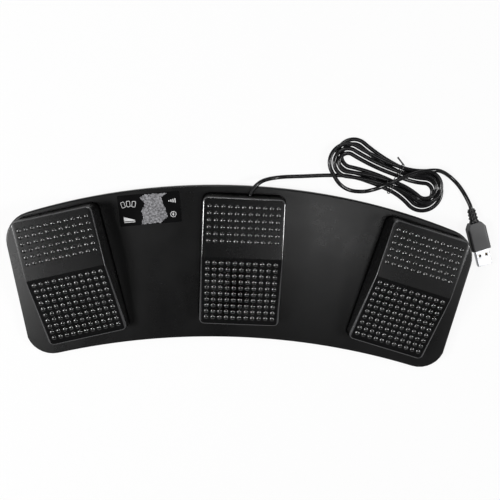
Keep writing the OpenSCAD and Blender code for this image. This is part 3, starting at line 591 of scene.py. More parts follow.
# Geometry node trees

class Tree(Graph):
    """A geometry node tree with named size inputs, read as tree[name]."""

    def __init__(self, name, inputs):
        super().__init__(bpy.data.node_groups.new(name, "GeometryNodeTree"))
        new_socket = self.tree.interface.new_socket
        for way in ("INPUT", "OUTPUT"):
            new_socket("Geometry", in_out=way, socket_type="NodeSocketGeometry")
        kinds = {int: "NodeSocketInt", float: "NodeSocketFloat"}
        for label, value in inputs.items():
            new_socket(label, in_out="INPUT", socket_type=kinds[type(value)]).default_value = value
        self.inputs = inputs
        self.source = self.tree.nodes.new("NodeGroupInput")

    def __getitem__(self, label):
        return self.source.outputs[label]

    def made(self, kind, settings=None, **sockets):
        """First output of a new geometry node."""
        return self.add("GeometryNode" + kind, settings, **sockets).outputs[0]

    def vector(self, x=0.0, y=0.0, z=0.0):
        return self.add("ShaderNodeCombineXYZ", X=x, Y=y, Z=z).outputs[0]

    def join(self, *parts):
        node = self.tree.nodes.new("GeometryNodeJoinGeometry")
        for part in parts:
            self.feed(node.inputs[0], part)
        return node.outputs[0]

    def moved(self, geometry, offset=(0, 0, 0), turn=(0, 0, 0)):
        return self.made("Transform", Geometry=geometry, Translation=offset, Rotation=turn)

    def raised(self, geometry, size, share):
        """Geometry moved up by a share of a size."""
        return self.moved(geometry, self.vector(z=self.times(size, share)))

    def end(self, geometry, material, smooth_angle=math.radians(40)):
        """Realizes the instances, shades smooth up to the angle and sets the material."""
        real = self.made("RealizeInstances", Geometry=geometry)
        soft = self.made("SetShadeSmooth", {"domain": "FACE"}, Geometry=real)
        blunt = self.add("FunctionNodeCompare", {"operation": "LESS_EQUAL"}, A=self.made("InputMeshEdgeAngle"),
                         B=smooth_angle).outputs[0]
        shaded = self.made("SetShadeSmooth", {"domain": "EDGE"}, Geometry=soft, Shade_Smooth=blunt)
        painted = self.made("SetMaterial", Geometry=shaded, Material=material)
        self.feed(self.tree.nodes.new("NodeGroupOutput").inputs[0], painted)
        return self

    def piece(self, name, placement=None, points=()):
        """Bakes the tree on a mesh of points into a plain piece with its place in its mesh."""
        mesh = bpy.data.meshes.new(name)
        mesh.from_pydata([tuple(p) for p in points], [], [])
        obj = linked(name, mesh)
        modifier = obj.modifiers.new("nodes", "NODES")
        modifier.node_group = self.tree
        for item in self.tree.interface.items_tree:
            if item.in_out == "INPUT" and item.name in self.inputs:
                modifier[item.identifier] = self.inputs[item.name]
        baked(obj)
        if placement is not None:
            obj.data.transform(placement)
        return obj


def pedal_plane(s, v):
    """Height of a pedal's top at v."""
    front = s.front_z + v * (s.crease_z - s.front_z) / s.crease_v
    rear = s.crease_z - (v - s.crease_v) * (s.crease_z - s.rear_z) / (s.pedal_l - s.crease_v)
    return min(front, rear)


def stud_tree(s):
    """Two fields of domed studs, on the sloping front and on the rear of a pedal's top."""
    front_slope = math.atan2(s.crease_z - s.front_z, s.crease_v)
    rear_slope = math.atan2(s.crease_z - s.rear_z, s.pedal_l - s.crease_v)
    ball = (s.stud_d ** 2 / 4 + s.stud_h ** 2) / (2 * s.stud_h)
    # A stud is the cap of a ball with as many rings as facets; the cap ends on a ring, and the cut lies just below it
    facets, cap_angle, below = 12, math.pi / 3, 0.98
    rim, cap_z = math.sin(cap_angle), math.cos(cap_angle)
    t = Tree("grip_studs", {
        "Columns": s.stud_columns, "Front Rows": s.front_rows, "Rear Rows": s.rear_rows,
        "Pitch": float(s.stud_pitch), "Ball Radius": ball, "Sunk": ball - s.stud_h,
    })
    sphere = t.made("MeshUVSphere", Segments=facets, Rings=facets, Radius=t["Ball Radius"])
    low = t.calc("LESS_THAN", t.height(t.made("InputPosition")), t.times(t["Ball Radius"], cap_z * below))
    cap = t.made("DeleteGeometry", {"domain": "POINT"}, Geometry=sphere, Selection=low)
    disc = t.made("MeshCircle", {"fill_type": "NGON"}, Vertices=facets, Radius=t.times(t["Ball Radius"], rim))
    under = t.raised(t.moved(disc, turn=(math.pi, 0, 0)), t["Ball Radius"], cap_z)
    dome = t.made("MergeByDistance", Geometry=t.join(cap, under), Distance=0.01 * MM)
    dome = t.raised(dome, t["Sunk"], -1.0)

    def field(rows, offset, lean):
        wide, deep = (t.times(t["Pitch"], t.calc("SUBTRACT", studs, 1.0)) for studs in (t["Columns"], rows))
        grid = t.made("MeshGrid", Size_X=wide, Size_Y=deep, Vertices_X=t["Columns"], Vertices_Y=rows)
        return t.moved(t.made("InstanceOnPoints", Points=grid, Instance=dome), offset, (lean, 0, 0))

    front_v = s.crease_v - (s.crease_row_inset + (s.front_rows - 1) / 2 * s.stud_pitch) * math.cos(front_slope)
    rear_v = s.pedal_l - s.rear_row_inset - (s.rear_rows - 1) / 2 * s.stud_pitch * math.cos(rear_slope)
    front = field(t["Front Rows"], (0, front_v, pedal_plane(s, front_v)), front_slope)
    rear = field(t["Rear Rows"], (0, rear_v, pedal_plane(s, rear_v)), -rear_slope)
    return t.end(t.join(front, rear), finish("stud"), smooth_angle=math.radians(60))


def spring_tree(s, low, high):
    """Compression spring whose first and last turns lie flat."""
    closed_pitch = 1.025 * s.wire_d
    t = Tree("return_spring", {
        "Turns": float(s.spring_turns), "Radius": s.spring_d / 2, "Wire Radius": s.wire_d / 2,
        "Height": high - low - s.wire_d, "Closed": closed_pitch,
    })
    coil = t.made("CurveSpiral", Resolution=36, Rotations=t["Turns"], Start_Radius=t["Radius"],
                  End_Radius=t["Radius"], Height=t["Height"])
    turn = t.times(t.made("SplineParameter"), t["Turns"])
    open_height = t.calc("SUBTRACT", t["Height"], t.times(t["Closed"], 2.0))
    open_pitch = t.calc("DIVIDE", open_height, t.calc("SUBTRACT", t["Turns"], 2.0))
    starting = t.times(turn, t["Closed"])
    rising = t.calc("ADD", t["Closed"], t.times(t.calc("SUBTRACT", turn, 1.0), open_pitch))
    ending = t.calc("SUBTRACT", t["Height"], t.times(t.calc("SUBTRACT", t["Turns"], turn), t["Closed"]))
    height = t.calc("MINIMUM", t.calc("MAXIMUM", starting, rising), ending)
    flat = t.add("ShaderNodeSeparateXYZ", Vector=t.made("InputPosition")).outputs
    coil = t.made("SetPosition", Geometry=coil, Position=t.vector(flat["X"], flat["Y"], height))
    section = t.made("CurvePrimitiveCircle", Resolution=12, Radius=t["Wire Radius"])
    wire = t.made("CurveToMesh", Curve=coil, Profile_Curve=section, Fill_Caps=True)
    return t.end(t.moved(wire, (0, s.spring_v, low + s.wire_d / 2)), finish("wire"))


def screw_tree(name, material, head_d, head_h, shank_d, shank_l, turn):
    """Cross-recessed screws on points under their heads, turned over for a head that looks down."""
    t = Tree(name, {
        "Head Radius": head_d / 2, "Head Height": head_h, "Shank Radius": shank_d / 2, "Shank Length": shank_l,
    })
    head = t.made("MeshCylinder", Vertices=32, Radius=t["Head Radius"], Depth=t["Head Height"])
    arm, web = (t.times(t["Head Radius"], share) for share in (1.15, 0.26))
    bars = [t.made("MeshCube", Size=t.vector(wide, deep, t["Head Height"]))
            for wide, deep in ((arm, web), (web, arm))]
    cross = t.raised(t.join(*bars), t["Head Height"], 0.45)
    cut = t.made("MeshBoolean", {"operation": "DIFFERENCE"}, Mesh_1=head, Mesh_2=cross)
    shank = t.made("MeshCylinder", Vertices=20, Radius=t["Shank Radius"], Depth=t["Shank Length"])
    screw = t.join(t.raised(cut, t["Head Height"], 0.5), t.raised(shank, t["Shank Length"], -0.5))
    spin = t.vector(z=t.add("FunctionNodeRandomValue", Min=0.0, Max=1.5, Seed=7).outputs["Value"])
    screw = t.moved(screw, turn=(turn, 0, 0))
    return t.end(t.made("InstanceOnPoints", Points=t["Geometry"], Instance=screw, Rotation=spin), material)


def rib_tree(material, count, thin_d, thick_d, rib_h, whole):
    """Tapered strain relief with ribs along +X, from its thin end at the origin."""
    # Rib's half width and the first rib's place as shares of the pitch, the bead on a ring of radius 1, and how far
    # the ribs run ahead of the taper
    half_share, first_share, bead, ahead = 0.27, 0.65, 0.16, 0.1
    t = Tree("relief_ribs", {
        "Count": count, "Thin": thin_d / 2, "Taper": (thick_d - thin_d) / 2, "Thick": thick_d / 2,
        "First Rib": thin_d / 2 + rib_h, "Length": whole,
    })
    cone = t.made("MeshCone", Vertices=40, Side_Segments=6, Radius_Top=t["Thick"], Radius_Bottom=t["Thin"],
                  Depth=t["Length"])
    pitch = t.calc("DIVIDE", t["Length"], t["Count"])
    line = t.made("MeshLine", Count=t["Count"], Offset=t.vector(z=pitch),
                  Start_Location=t.vector(z=t.times(pitch, first_share)))
    along = t.calc("ADD", t.calc("DIVIDE", t.made("InputIndex"), t["Count"]), ahead)
    radius = t.calc("ADD", t["First Rib"], t.times(along, t["Taper"]))
    ring, section = (t.made("CurvePrimitiveCircle", Resolution=sides, Radius=size)
                     for sides, size in ((40, 1.0), (10, bead)))
    torus = t.made("CurveToMesh", Curve=ring, Profile_Curve=section)
    girth = t.calc("DIVIDE", radius, 1 + bead)
    ribs = t.made("InstanceOnPoints", Points=line, Instance=torus,
                  Scale=t.vector(girth, girth, t.times(pitch, half_share / bead)))
    relief = t.moved(t.join(cone, ribs), turn=(0, math.pi / 2, 0))
    return t.end(relief, material, smooth_angle=math.radians(50))


def foot_tree(material, width, height):
    """Round rubber feet with a rounded rim and a sunk middle, on points at their tops."""
    rim_w, ease = 0.18 * width, 0.24 * height
    t = Tree("rubber_feet", {
        "Height": height, "Rim": rim_w, "Rim Radius": (width - rim_w) / 2,
        "Middle Radius": width / 2 - 0.6 * rim_w, "Middle Height": 0.6 * height,
    })
    section = t.made("CurvePrimitiveQuadrilateral", Width=t["Rim"], Height=t["Height"])
    rounded = t.made("FilletCurve", {"mode": "POLY"}, Curve=section, Count=4, Radius=ease)
    ring = t.made("CurvePrimitiveCircle", Resolution=48, Radius=t["Rim Radius"])
    rim = t.made("CurveToMesh", Curve=ring, Profile_Curve=rounded)
    middle = t.made("MeshCylinder", Vertices=48, Depth=t["Middle Height"], Radius=t["Middle Radius"])
    foot = t.join(t.raised(rim, t["Height"], -0.5), t.raised(middle, t["Middle Height"], -0.5))
    return t.end(t.made("InstanceOnPoints", Points=t["Geometry"], Instance=foot), material)


# Cord route: the solids' own points, in millimetres

CORD_EXIT = (5, 63.9157, 12.35)
LEAD_ROUTE = [
    (5, 68.5157, 12.35), (6.3, 72.5, 12.3), (9.5, 76.7, 11.8), (14, 80, 9.6), (19.5, 81.9, 6.6), (26, 83.1, 3.6),
    (33, 84, 2), (40, 84.6, 1.7), (48, 85.2, 1.7), (56, 85.9, 1.7), (64, 86.6, 1.7), (72, 87.1, 1.7),
    (80, 87.3, 1.7), (88, 86.9, 1.7),
]
TAIL_ROUTE = [
    (78.7, 80.7, 5.1), (83.4, 77.4, 3.9), (89, 75.3, 2.4), (95, 74.6, 1.7), (101.5, 75, 2), (107.5, 76.9, 4.5),
    (113, 79.6, 8.6), (118.5, 82.5, 11.2), (124.5, 85.7, 11.9), (130.5, 88.7, 11.7), (136.5, 91.2, 11.1),
    (142.5, 93.2, 10.5), (148.5, 94.6, 10.3), (154.5, 95.4, 9.9), (160.5, 95.2, 7.8), (166.8, 93.2, 4.6),
    (173.2, 89.5, 2.2), (179.1, 84.6, 1.7), (184, 78.9, 1.9), (187.7, 73.2, 3),
]
HANK_WAIST, HANK_TURN = (126, 87.5), math.radians(-23.5)
LOBE_RINGS, RUN_RINGS, FIRST_RING, CLIMB_RING, LAST_RING = 8, 4, 21, 59, 117
HALF_LOOP = LOBE_RINGS + RUN_RINGS
LOOP_RINGS = 2 * HALF_LOOP
LOOP_PITCH, WAIST_HALF, WAIST_LIFT, LIFT_REACH = 3.9, 2.1, 1.05, 22
# Right and left lobe of the lower layer, then of the upper one
LOBE_R, LOBE_REACH = ((7.2, 7), (6.8, 6.8)), ((26.8, 40.5), (25.8, 43))
LAYER_TURN = (0, math.radians(8))
RUN_R = [[(reach ** 2 + WAIST_HALF ** 2 - r ** 2) / (2 * (r - WAIST_HALF)) for r, reach in zip(*layer)]
         for layer in zip(LOBE_R, LOBE_REACH)]
RUN_ANGLE = [[math.atan2(reach, WAIST_HALF + run) for reach, run in zip(*layer)]
             for layer in zip(LOBE_REACH, RUN_R)]
PLUG_PLACE, PLUG_TURN, PLUG_Z = (196, 53), math.radians(-70), 4.25
RELIEF_L = 12
# Steps along the hank in rings, for its heading in rings, and along the listed routes in millimetres
HANK_STEP, HEADING_STEP, ROUTE_STEP = 0.25, 0.1, 2


def lobe_point(j, k, angle, grow):
    """Point on a lobe of layer j, the right one for k = 0 and the left one for k = 1, grown by the turns inside."""
    r, sign = LOBE_R[j][k] + grow, 1 - 2 * k
    return sign * (LOBE_REACH[j][k] + r * math.cos(angle)), sign * r * math.sin(angle)


def run_point(j, k, angle, side, grow):
    """Point on the run from the waist to lobe k, on the rear side for 1 and the front side for -1."""
    r = RUN_R[j][k] - grow
    return (1 - 2 * k) * r * math.sin(angle), side * (WAIST_HALF + RUN_R[j][k] - r * math.cos(angle))


def loop_point(j, q, grow):
    """Point of layer j's loop at ring q: right lobe, rear run, left lobe, front run."""
    k = 0 if q < HALF_LOOP else 1
    side, t, angle = 1 - 2 * k, q - k * HALF_LOOP, RUN_ANGLE[j]
    along = 2 * (t - LOBE_RINGS) / RUN_RINGS
    if along < 0:
        return lobe_point(j, k, (2 * t / LOBE_RINGS - 1) * (math.pi / 2 + angle[k]), grow)
    if along < 1:
        return run_point(j, k, angle[k] * (1 - along), side, grow)
    return run_point(j, 1 - k, angle[1 - k] * (along - 1), side, grow)


def hank_point(k, cord_d):
    """Point of the hank at ring k: in on the lower layer, a climb at the waist, out on the upper layer."""
    j = 0 if k < CLIMB_RING + RUN_RINGS / 2 else 1
    grow = LOOP_PITCH * max((CLIMB_RING - k) / LOOP_RINGS, (k - CLIMB_RING - RUN_RINGS) / LOOP_RINGS, 0)
    climb = min(max((k - CLIMB_RING) / RUN_RINGS, 0), 1)
    climb = climb * climb * (3 - 2 * climb)
    x, y = loop_point(j, (FIRST_RING + k) % LOOP_RINGS, grow)
    rise = WAIST_LIFT * math.cos(math.pi / 2 * min(abs(x) / LIFT_REACH, 1)) ** 2
    c, s = math.cos(HANK_TURN + LAYER_TURN[j]), math.sin(HANK_TURN + LAYER_TURN[j])
    return Vector((HANK_WAIST[0] + x * c - y * s, HANK_WAIST[1] + x * s + y * c,
                   cord_d / 2 + LOOP_PITCH * climb + rise))


def hank_heading(k, step, cord_d):
    """Level heading of the hank at ring k, from a short step on or back."""
    way = (hank_point(k + step, cord_d) - hank_point(k, cord_d)) / step
    return Vector((way.x, way.y, 0)).normalized()


# Twist tie: its loop to the front and rear of the waist, low and high, then its twisted ends, which spread at the tip
TIE_REACH, TIE_HEIGHT, TIE_CORNER, TIE_LOOP_D = (14.15, 12.2), (0.4, 8.9), 2.2, 0.8
TIE_END_L, TIE_END_Z, TIE_END_LEAN, TIE_END_D = 8, 5.58, math.radians(66), 0.7
TIE_TURNS, TIE_STEPS, TIE_TWIST_R, TIE_SPREAD, TIE_TIP = 4, 48, 0.42, 0.35, 0.8

# Inner wires: u, v and height at the side station, then at the middle one
SIDE_LEAD = [
    (13.5, 43.4, 10.9), (16.5, 43.4, 10.9), (19.5, 45.4, 9.9), (23.5, 46.9, 6.3), (31.6, 47, 6.3), (36.6, 47, 6.3),
    (42.6, 47.5, 4.6),
]
MIDDLE_LEAD = [
    (42.6, 50, 4.6), (36.6, 50, 6.3), (31.6, 50, 6.3), (22.5, 52, 9.9), (19.5, 51, 10.9), (16.5, 51, 10.9),
]
# Inner cord: u, v and height from the board's header to the grommet, with a swing beside the spring. A step says what
# share of the way, the swing and the climb it has reached
INNER_U, INNER_V, INNER_Z, GROMMET_OUT_V = (5, 9.7), (63.8, 99.6), (11.3, 12.35), 104.4
INNER_STEPS = [
    (0, 0, 0), (0.084, 0, 0), (0.19, 0.34, 0.1), (0.3, 0.77, 0.5), (0.4, 0.98, 0.9), (0.55, 1, 1), (0.68, 0.85, 1),
    (0.8, 0.47, 1), (0.9, 0.13, 1), (0.96, 0.01, 1), (1, 0, 1),
]


def inner_route():
    """Points of the inner cord in the middle pedal's frame."""
    route = []
    for way, swing, climb in INNER_STEPS:
        route.append([low + (high - low) * share
                      for (low, high), share in ((INNER_U, swing), (INNER_V, way), (INNER_Z, climb))])
    return route + [(INNER_U[0], GROMMET_OUT_V, INNER_Z[1])]


def plug_matrix():
    """Placement of the plug's frame: +X along the plug, from the grip's rear end."""
    at = Vector((*PLUG_PLACE, PLUG_Z)) * MM
    return Matrix.Translation(at) @ Matrix.Rotation(PLUG_TURN, 4, "Z")


def cord_points(cord_d):
    """Centreline of the whole cord, from the grommet to the plug's strain relief."""
    hank = [hank_point(k * HANK_STEP, cord_d) for k in range(round(LAST_RING / HANK_STEP) + 1)]
    flat = hank_heading(0, HEADING_STEP, cord_d), hank_heading(LAST_RING, -HEADING_STEP, cord_d)
    along = Vector((math.cos(PLUG_TURN), math.sin(PLUG_TURN), 0))
    relief = Vector((*PLUG_PLACE, PLUG_Z)) - along * RELIEF_L
    lead = [CORD_EXIT, *LEAD_ROUTE, hank[0] - flat[0] * 2 * cord_d, hank[0] - flat[0] * cord_d, hank[0]]
    tail = [hank[-1], hank[-1] + flat[1] * cord_d, hank[-1] + flat[1] * 2 * cord_d, *TAIL_ROUTE,
            relief - along * cord_d, relief]
    whole = smooth_path(lead, ROUTE_STEP)[:-1] + hank[:-1] + smooth_path(tail, ROUTE_STEP)
    return [p * MM for p in whole]


# Operators, one for each piece or group of like pieces

class BuildOperator:
    """Shared by the operators: what they build can be undone."""

    bl_options = {"REGISTER", "UNDO"}


# Stage: the camera with its right, up and back axes, and the lamps with their place, aim, size and power
CAMERA_AT = (-0.008794, 0.114, 0.51467)
CAMERA_AXES = (0.99863, 0.04731, 0.02229), (-0.04254, 0.98274, -0.18003), (-0.03042, 0.17883, 0.98341)
CAMERA_SENSOR, CAMERA_LENS, CAMERA_NEAR = 36, 44.06, 0.01
LAMPS = {
    "overhead_right": ((0.232, -0.07, 1.1), (0.06, 0.05, 0), (0.22, 0.22), 0.65),
    "window_left": ((-0.75, -0.23, 0.96), (-0.19, 0, 0), (0.34, 0.34), 3.4),
    "side_left": ((-1.05, -0.05, 1.05), (-0.1, 0, 0), (0.3, 0.3), 9.5),
    "side_right": ((1.05, -0.05, 1.05), (0.1, 0, 0), (0.3, 0.3), 8),
    "soft_rear": ((-0.12, 0.9, 1.1), (0, 0, 0.02), (0.4, 0.16), 2),
}
SKY_STRENGTH = 0.06


class FOOTSWITCH_OT_stage(BuildOperator, bpy.types.Operator):
    """Pale floor with a low round backdrop, soft lights and the camera"""

    bl_idname = "footswitch.stage"
    bl_label = "Stage"

    def execute(self, context):
        scene = context.scene
        scene.view_settings.view_transform = "Standard"
        self.camera(scene)
        self.backdrop()
        self.lights()
        self.world(scene)
        return {"FINISHED"}

    def camera(self, scene):
        data = bpy.data.cameras.new("camera")
        data.sensor_width, data.lens = CAMERA_SENSOR, CAMERA_LENS
        data.clip_start = CAMERA_NEAR
        scene.camera = linked("camera", data)
        scene.camera.matrix_world = Matrix.Translation(CAMERA_AT) @ Matrix(CAMERA_AXES).transposed().to_4x4()

    def backdrop(self):
        """Round floor of the given reach that sweeps up into a low wall."""
        reach, sweep, top, around, steps = 2.2, 0.5, 1.3, 64, 8
        profile = [(r, 0) for r in (0.6, 1.4, reach)]
        profile += [(reach + sweep * math.sin(t), sweep * (1 - math.cos(t)))
                    for t in (math.pi / 2 * k / steps for k in range(1, steps + 1))]
        profile.append((reach + sweep, top))
        bm = bmesh.new()
        turns = [2 * math.pi * k / around for k in range(around)]
        rings = [[bm.verts.new((r * math.cos(t), r * math.sin(t), z)) for t in turns] for r, z in profile]
        bm.faces.new(rings[0])
        for inner, outer in zip(rings, rings[1:]):
            band(bm, outer, inner)
        for face in bm.faces:
            face.smooth = True
        from_bmesh("backdrop", bm, self.paper())

    def paper(self):
        """White paper: mostly plain white to the camera, greyer in reflections and up the backdrop."""
        white, seen_share, mirror_loss, far_grey, far_z = 0.93, 0.9, 0.6, 0.25, 0.8
        material = bpy.data.materials.new("white_paper")
        material.use_nodes = True
        material.node_tree.nodes.clear()
        g = Graph(material.node_tree)
        rays = g.add("ShaderNodeLightPath").outputs
        mirrored = g.calc("MAXIMUM", rays["Is Glossy Ray"], rays["Is Transmission Ray"])
        seen = g.calc("MAXIMUM", mirrored, rays["Is Camera Ray"])
        fade = g.add("ShaderNodeValToRGB")
        g.feed(fade.inputs[0], g.height(g.add("ShaderNodeTexCoord").outputs["Object"]))
        near, far = fade.color_ramp.elements
        near.color = (1, 1, 1, 1)
        far.color, far.position = (far_grey, far_grey, far_grey, 1), far_z
        matt = g.add("ShaderNodeBsdfDiffuse", Color=(white, white, white, 1))
        glow = g.add("ShaderNodeEmission", Color=fade.outputs["Color"],
                     Strength=g.calc("MULTIPLY_ADD", mirrored, -mirror_loss, 1.0))
        mix = g.add("ShaderNodeMixShader")
        for socket, value in zip(mix.inputs, (g.times(seen, seen_share), matt.outputs[0], glow.outputs[0])):
            g.feed(socket, value)
        g.add("ShaderNodeOutputMaterial", Surface=mix.outputs[0])
        return material

    def lights(self):
        for name, (at, aim, size, power) in LAMPS.items():
            data = bpy.data.lights.new(name, "AREA")
            data.shape = "RECTANGLE"
            data.size, data.size_y = size
            data.energy = power
            lamp = linked(name, data)
            lamp.visible_camera = False
            lamp.location = at
            lamp.rotation_euler = (Vector(aim) - Vector(at)).to_track_quat("-Z", "Y").to_euler()

    def world(self, scene):
        scene.world = bpy.data.worlds.new("studio")
        scene.world.use_nodes = True
        sky = scene.world.node_tree.nodes["Background"]
        sky.inputs["Color"].default_value = (1, 1, 1, 1)
        sky.inputs["Strength"].default_value = SKY_STRENGTH


RIM_ANGLE = math.radians(60)  # the least turn of an edge that is a pocket's rim
# faces with this rise get the lighter rubbed finish, which is partly wear and partly a painted highlight line
SHOULDER_SLOPE = 0.3, 0.955  # normals' rise on a pedal's rounded shoulder
STUD_LEAST = 0.03 * MM  # what stands higher than this on a pedal's top belongs to a stud


def bare_pedal(side, s):
    """Pedal's solid without its grip studs, which a node tree sets on it."""
    bm = merged_copy(f"{side}_pedal")
    to_own = station(side, s.hinge_v).inverted()
    caps = [v for v in bm.verts for p in (to_own @ v.co,) if p.z - pedal_plane(s, p.y) > STUD_LEAST]
    bmesh.ops.delete(bm, geom=caps, context="VERTS")
    bmesh.ops.holes_fill(bm, edges=[e for e in bm.edges if e.is_boundary], sides=0)
    return bm


class FOOTSWITCH_OT_base(BuildOperator, bpy.types.Operator):
    """Base moulding with eased pocket rims, and its bottom plate"""

    bl_idname = "footswitch.base"
    bl_label = "Base"

    def execute(self, context):
        bm = joined_flats(merged_copy("base_shell"))
        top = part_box("label_plate")[0][2]
        rims = [e for e in bm.edges if all(abs(v.co.z - top) < TOUCH for v in e.verts)
                and e.calc_face_angle(0) > RIM_ANGLE]
        bmesh.ops.bevel(bm, geom=rims, offset=sizes().rim_ease, segments=2, profile=0.5, affect="EDGES",
                        clamp_overlap=True)
        place(shell_piece("base_moulding", bm, finish("base")), "base", "base_plastic", "base_shell")
        dressed("base_cover", "bottom_plate", "base", "base_plastic")
        return {"FINISHED"}


class FOOTSWITCH_OT_pedals(BuildOperator, bpy.types.Operator):
    """Three pedal covers and their fields of grip studs"""

    bl_idname = "footswitch.pedals"
    bl_label = "Pedals"

    def execute(self, context):
        s = sizes()
        studs = stud_tree(s)
        for side in SIDES:
            cover = shell_piece(f"{side}_pedal_cover", bare_pedal(side, s), finish("pedal"))
            self.rub_and_paint_highlight(cover.data)
            place(cover, f"{side}_pedal", "pedal_plastic", f"{side}_pedal")
            place(studs.piece(f"{side}_grip_studs", station(side, s.hinge_v)), f"{side}_pedal", "pedal_plastic")
        return {"FINISHED"}

    def rub_and_paint_highlight(self, mesh):
        """Gives the rounded shoulder its rubbed, glossier finish, its colour twelve times the pedal's: partly wear,
        partly a painted highlight line.
        """
        mesh.materials.append(finish("pedal_edge_wear_and_highlight"))
        low, high = SHOULDER_SLOPE
        for face in mesh.polygons:
            if low < face.normal.z < high:
                face.material_index = 1


class FOOTSWITCH_OT_springs(BuildOperator, bpy.types.Operator):
    """Return springs, at the length of their solids"""

    bl_idname = "footswitch.springs"
    bl_label = "Springs"

    def execute(self, context):
        s = sizes()
        for side in SIDES:
            low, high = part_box(f"{side}_return_spring")
            spring = spring_tree(s, low[2], high[2]).piece(f"{side}_spring", station(side, s.hinge_v))
            place(spring, "base", "steel", f"{side}_return_spring")
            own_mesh(spring)
        return {"FINISHED"}


class FOOTSWITCH_OT_fasteners(BuildOperator, bpy.types.Operator):
    """Screws of the bottom plate and of the boards, and the rubber feet"""

    bl_idname = "footswitch.fasteners"
    bl_label = "Screws and feet"

    def execute(self, context):
        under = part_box("bottom_plate")[0][2]
        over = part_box("controller_board")[1][2]
        plate_screws = screw_tree("plate_screws", finish("steel"), head_d=5.4 * MM, head_h=1.2 * MM,
                                  shank_d=2.8 * MM, shank_l=5 * MM, turn=math.pi)
        board_screws = screw_tree("board_screws", finish("steel"), head_d=3.6 * MM, head_h=1.3 * MM,
                                  shank_d=2 * MM, shank_l=3.59 * MM, turn=0)
        feet = foot_tree(finish("rubber"), width=16 * MM, height=2 * MM)
        for tree, node, height, slot in (
            (plate_screws, "plate_screws", under, "steel"), (board_screws, "board_screws", over, "steel"),
            (feet, "rubber_feet", under, "rubber"),
        ):
            spots = [(x, y, height) for x, y in island_middles(node)]
            place(tree.piece(f"{node}_set", points=sorted(spots)), "base", slot, node)
        return {"FINISHED"}


# Label, in millimetres from its middle: three pedals, rising bars, a ramp over a line, an arrow in a ring. Rounded
# forms are given by width, length and corner
LABEL_TURN = math.radians(7.5)
PEDALS_AT, PEDAL_STEP, PEDAL_SINK, PEDAL_LEAN = (-17, 5.5), 4.4, 0.5, math.radians(14)
PEDAL_SIGN, PEDAL_HOLE = (3.2, 5, 0.8), (2.4, 4.2, 0.5)
BARS_AT, BAR_STEP, BAR_W, BAR_L, BAR_GROWTH, BAR_R, BARS = (16.5, 5.2), 1.7, 0.9, 1.2, 0.8, 0.2, 4
RAMP_AT, RAMP = (-17.5, -7), ((-4.5, -1.6), (4.5, -1.6), (4.5, -1), (-4.5, 2))
LINE_AT, LINE = (-17.5, -9.6), (9, 0.6, 0.2)
RING_AT, RING, RING_HOLE = (19, -6), (5, 5, 2.49), (4, 4, 1.99)
ARROW = ((-1.1, 0.3), (0, -1.4), (1.1, 0.3)), ((-0.3, 0.3), (0.3, 0.3), (0.3, 1.5), (-0.3, 1.5))
NICK_STEP, NICK_IN, NICK_OUT = 0.8, -0.55, 0.45  # nicks in the foil's edge


class FOOTSWITCH_OT_label(BuildOperator, bpy.types.Operator):
    """Label film with a foil patch and plain printed signs"""

    bl_idname = "footswitch.label"
    bl_label = "Label"

    def execute(self, context):
        low, high = (Vector(corner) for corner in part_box("label_plate"))
        middle = (low + high) / 2
        at = Matrix.Translation((middle.x, middle.y, high.z)) @ Matrix.Rotation(LABEL_TURN, 4, "Z")
        dress("label_plate", "label")
        signs = bmesh.new()
        for k in (-1, 0, 1):
            spot = PEDALS_AT[0] + PEDAL_STEP * k, PEDALS_AT[1] - PEDAL_SINK * abs(k), -PEDAL_LEAN * k
            plate(signs, *(shifted(rounded_box(*form), *spot) for form in (PEDAL_SIGN, PEDAL_HOLE)))
        for k in range(BARS):
            bar = rounded_box(BAR_W, BAR_L + BAR_GROWTH * k, BAR_R)
            plate(signs, shifted(bar, BARS_AT[0] + BAR_STEP * k, BARS_AT[1]))
        plate(signs, shifted(RAMP, *RAMP_AT))
        plate(signs, shifted(rounded_box(*LINE), *LINE_AT))
        plate(signs, *(shifted(rounded_box(*form), *RING_AT) for form in (RING, RING_HOLE)))
        for form in ARROW:
            plate(signs, shifted(form, *RING_AT))
        place(flat_piece("label_signs", signs, at, finish("print")), "base", "label")
        patch = bmesh.new()
        plate(patch, self.worn_outline())
        place(flat_piece("label_patch", patch, at, finish("foil")), "base", "label")
        return {"FINISHED"}

    def worn_outline(self):
        """Ragged edge of the rubbed foil: its main corners, with nicks between them."""
        corners = [Vector(p) for p in (
            (-8, -12), (8, -12.2), (14, -8), (13, -2), (11.5, 5), (10.5, 9), (15.5, 11.6), (9, 12.2), (-3, 12),
            (-7, 10), (-3.5, 4), (-7, -1), (-6, -7))]
        nicks = random.Random(5)
        outline = []
        for a, b in zip(corners, corners[1:] + corners[:1]):
            count = max(2, round((b - a).length / NICK_STEP))
            side = Vector((b.y - a.y, a.x - b.x)).normalized()
            outline += [a.lerp(b, k / count) + side * nicks.uniform(NICK_IN, NICK_OUT) for k in range(count)]
        return outline


class FOOTSWITCH_OT_wiring(BuildOperator, bpy.types.Operator):
    """Inner leads from the side switches and the cord's stretch inside the base"""

    bl_idname = "footswitch.wiring"
    bl_label = "Wiring"

    def execute(self, context):
        s = sizes()
        inner = station("middle", s.hinge_v)
        for side, sign in (("left", -1), ("right", 1)):
            outer = station(side, s.hinge_v)
            points = [outer @ (Vector((-sign * u, v, z)) * MM) for u, v, z in SIDE_LEAD]
            points += [inner @ (Vector((sign * u, v, z)) * MM) for u, v, z in MIDDLE_LEAD]
            lead = tube(f"{side}_lead", smooth_path(points, MM), s.lead_d, "lead")
            place(lead, "base", "lead_sheath", f"{side}_switch_lead")
        points = [inner @ (Vector(p) * MM) for p in inner_route()]
        stretch = tube("cord_inside", smooth_path(points, MM), s.cord_d, "cord", resolution=5)
        place(stretch, "base", "cord_sheath", "inner_cord")
        return {"FINISHED"}


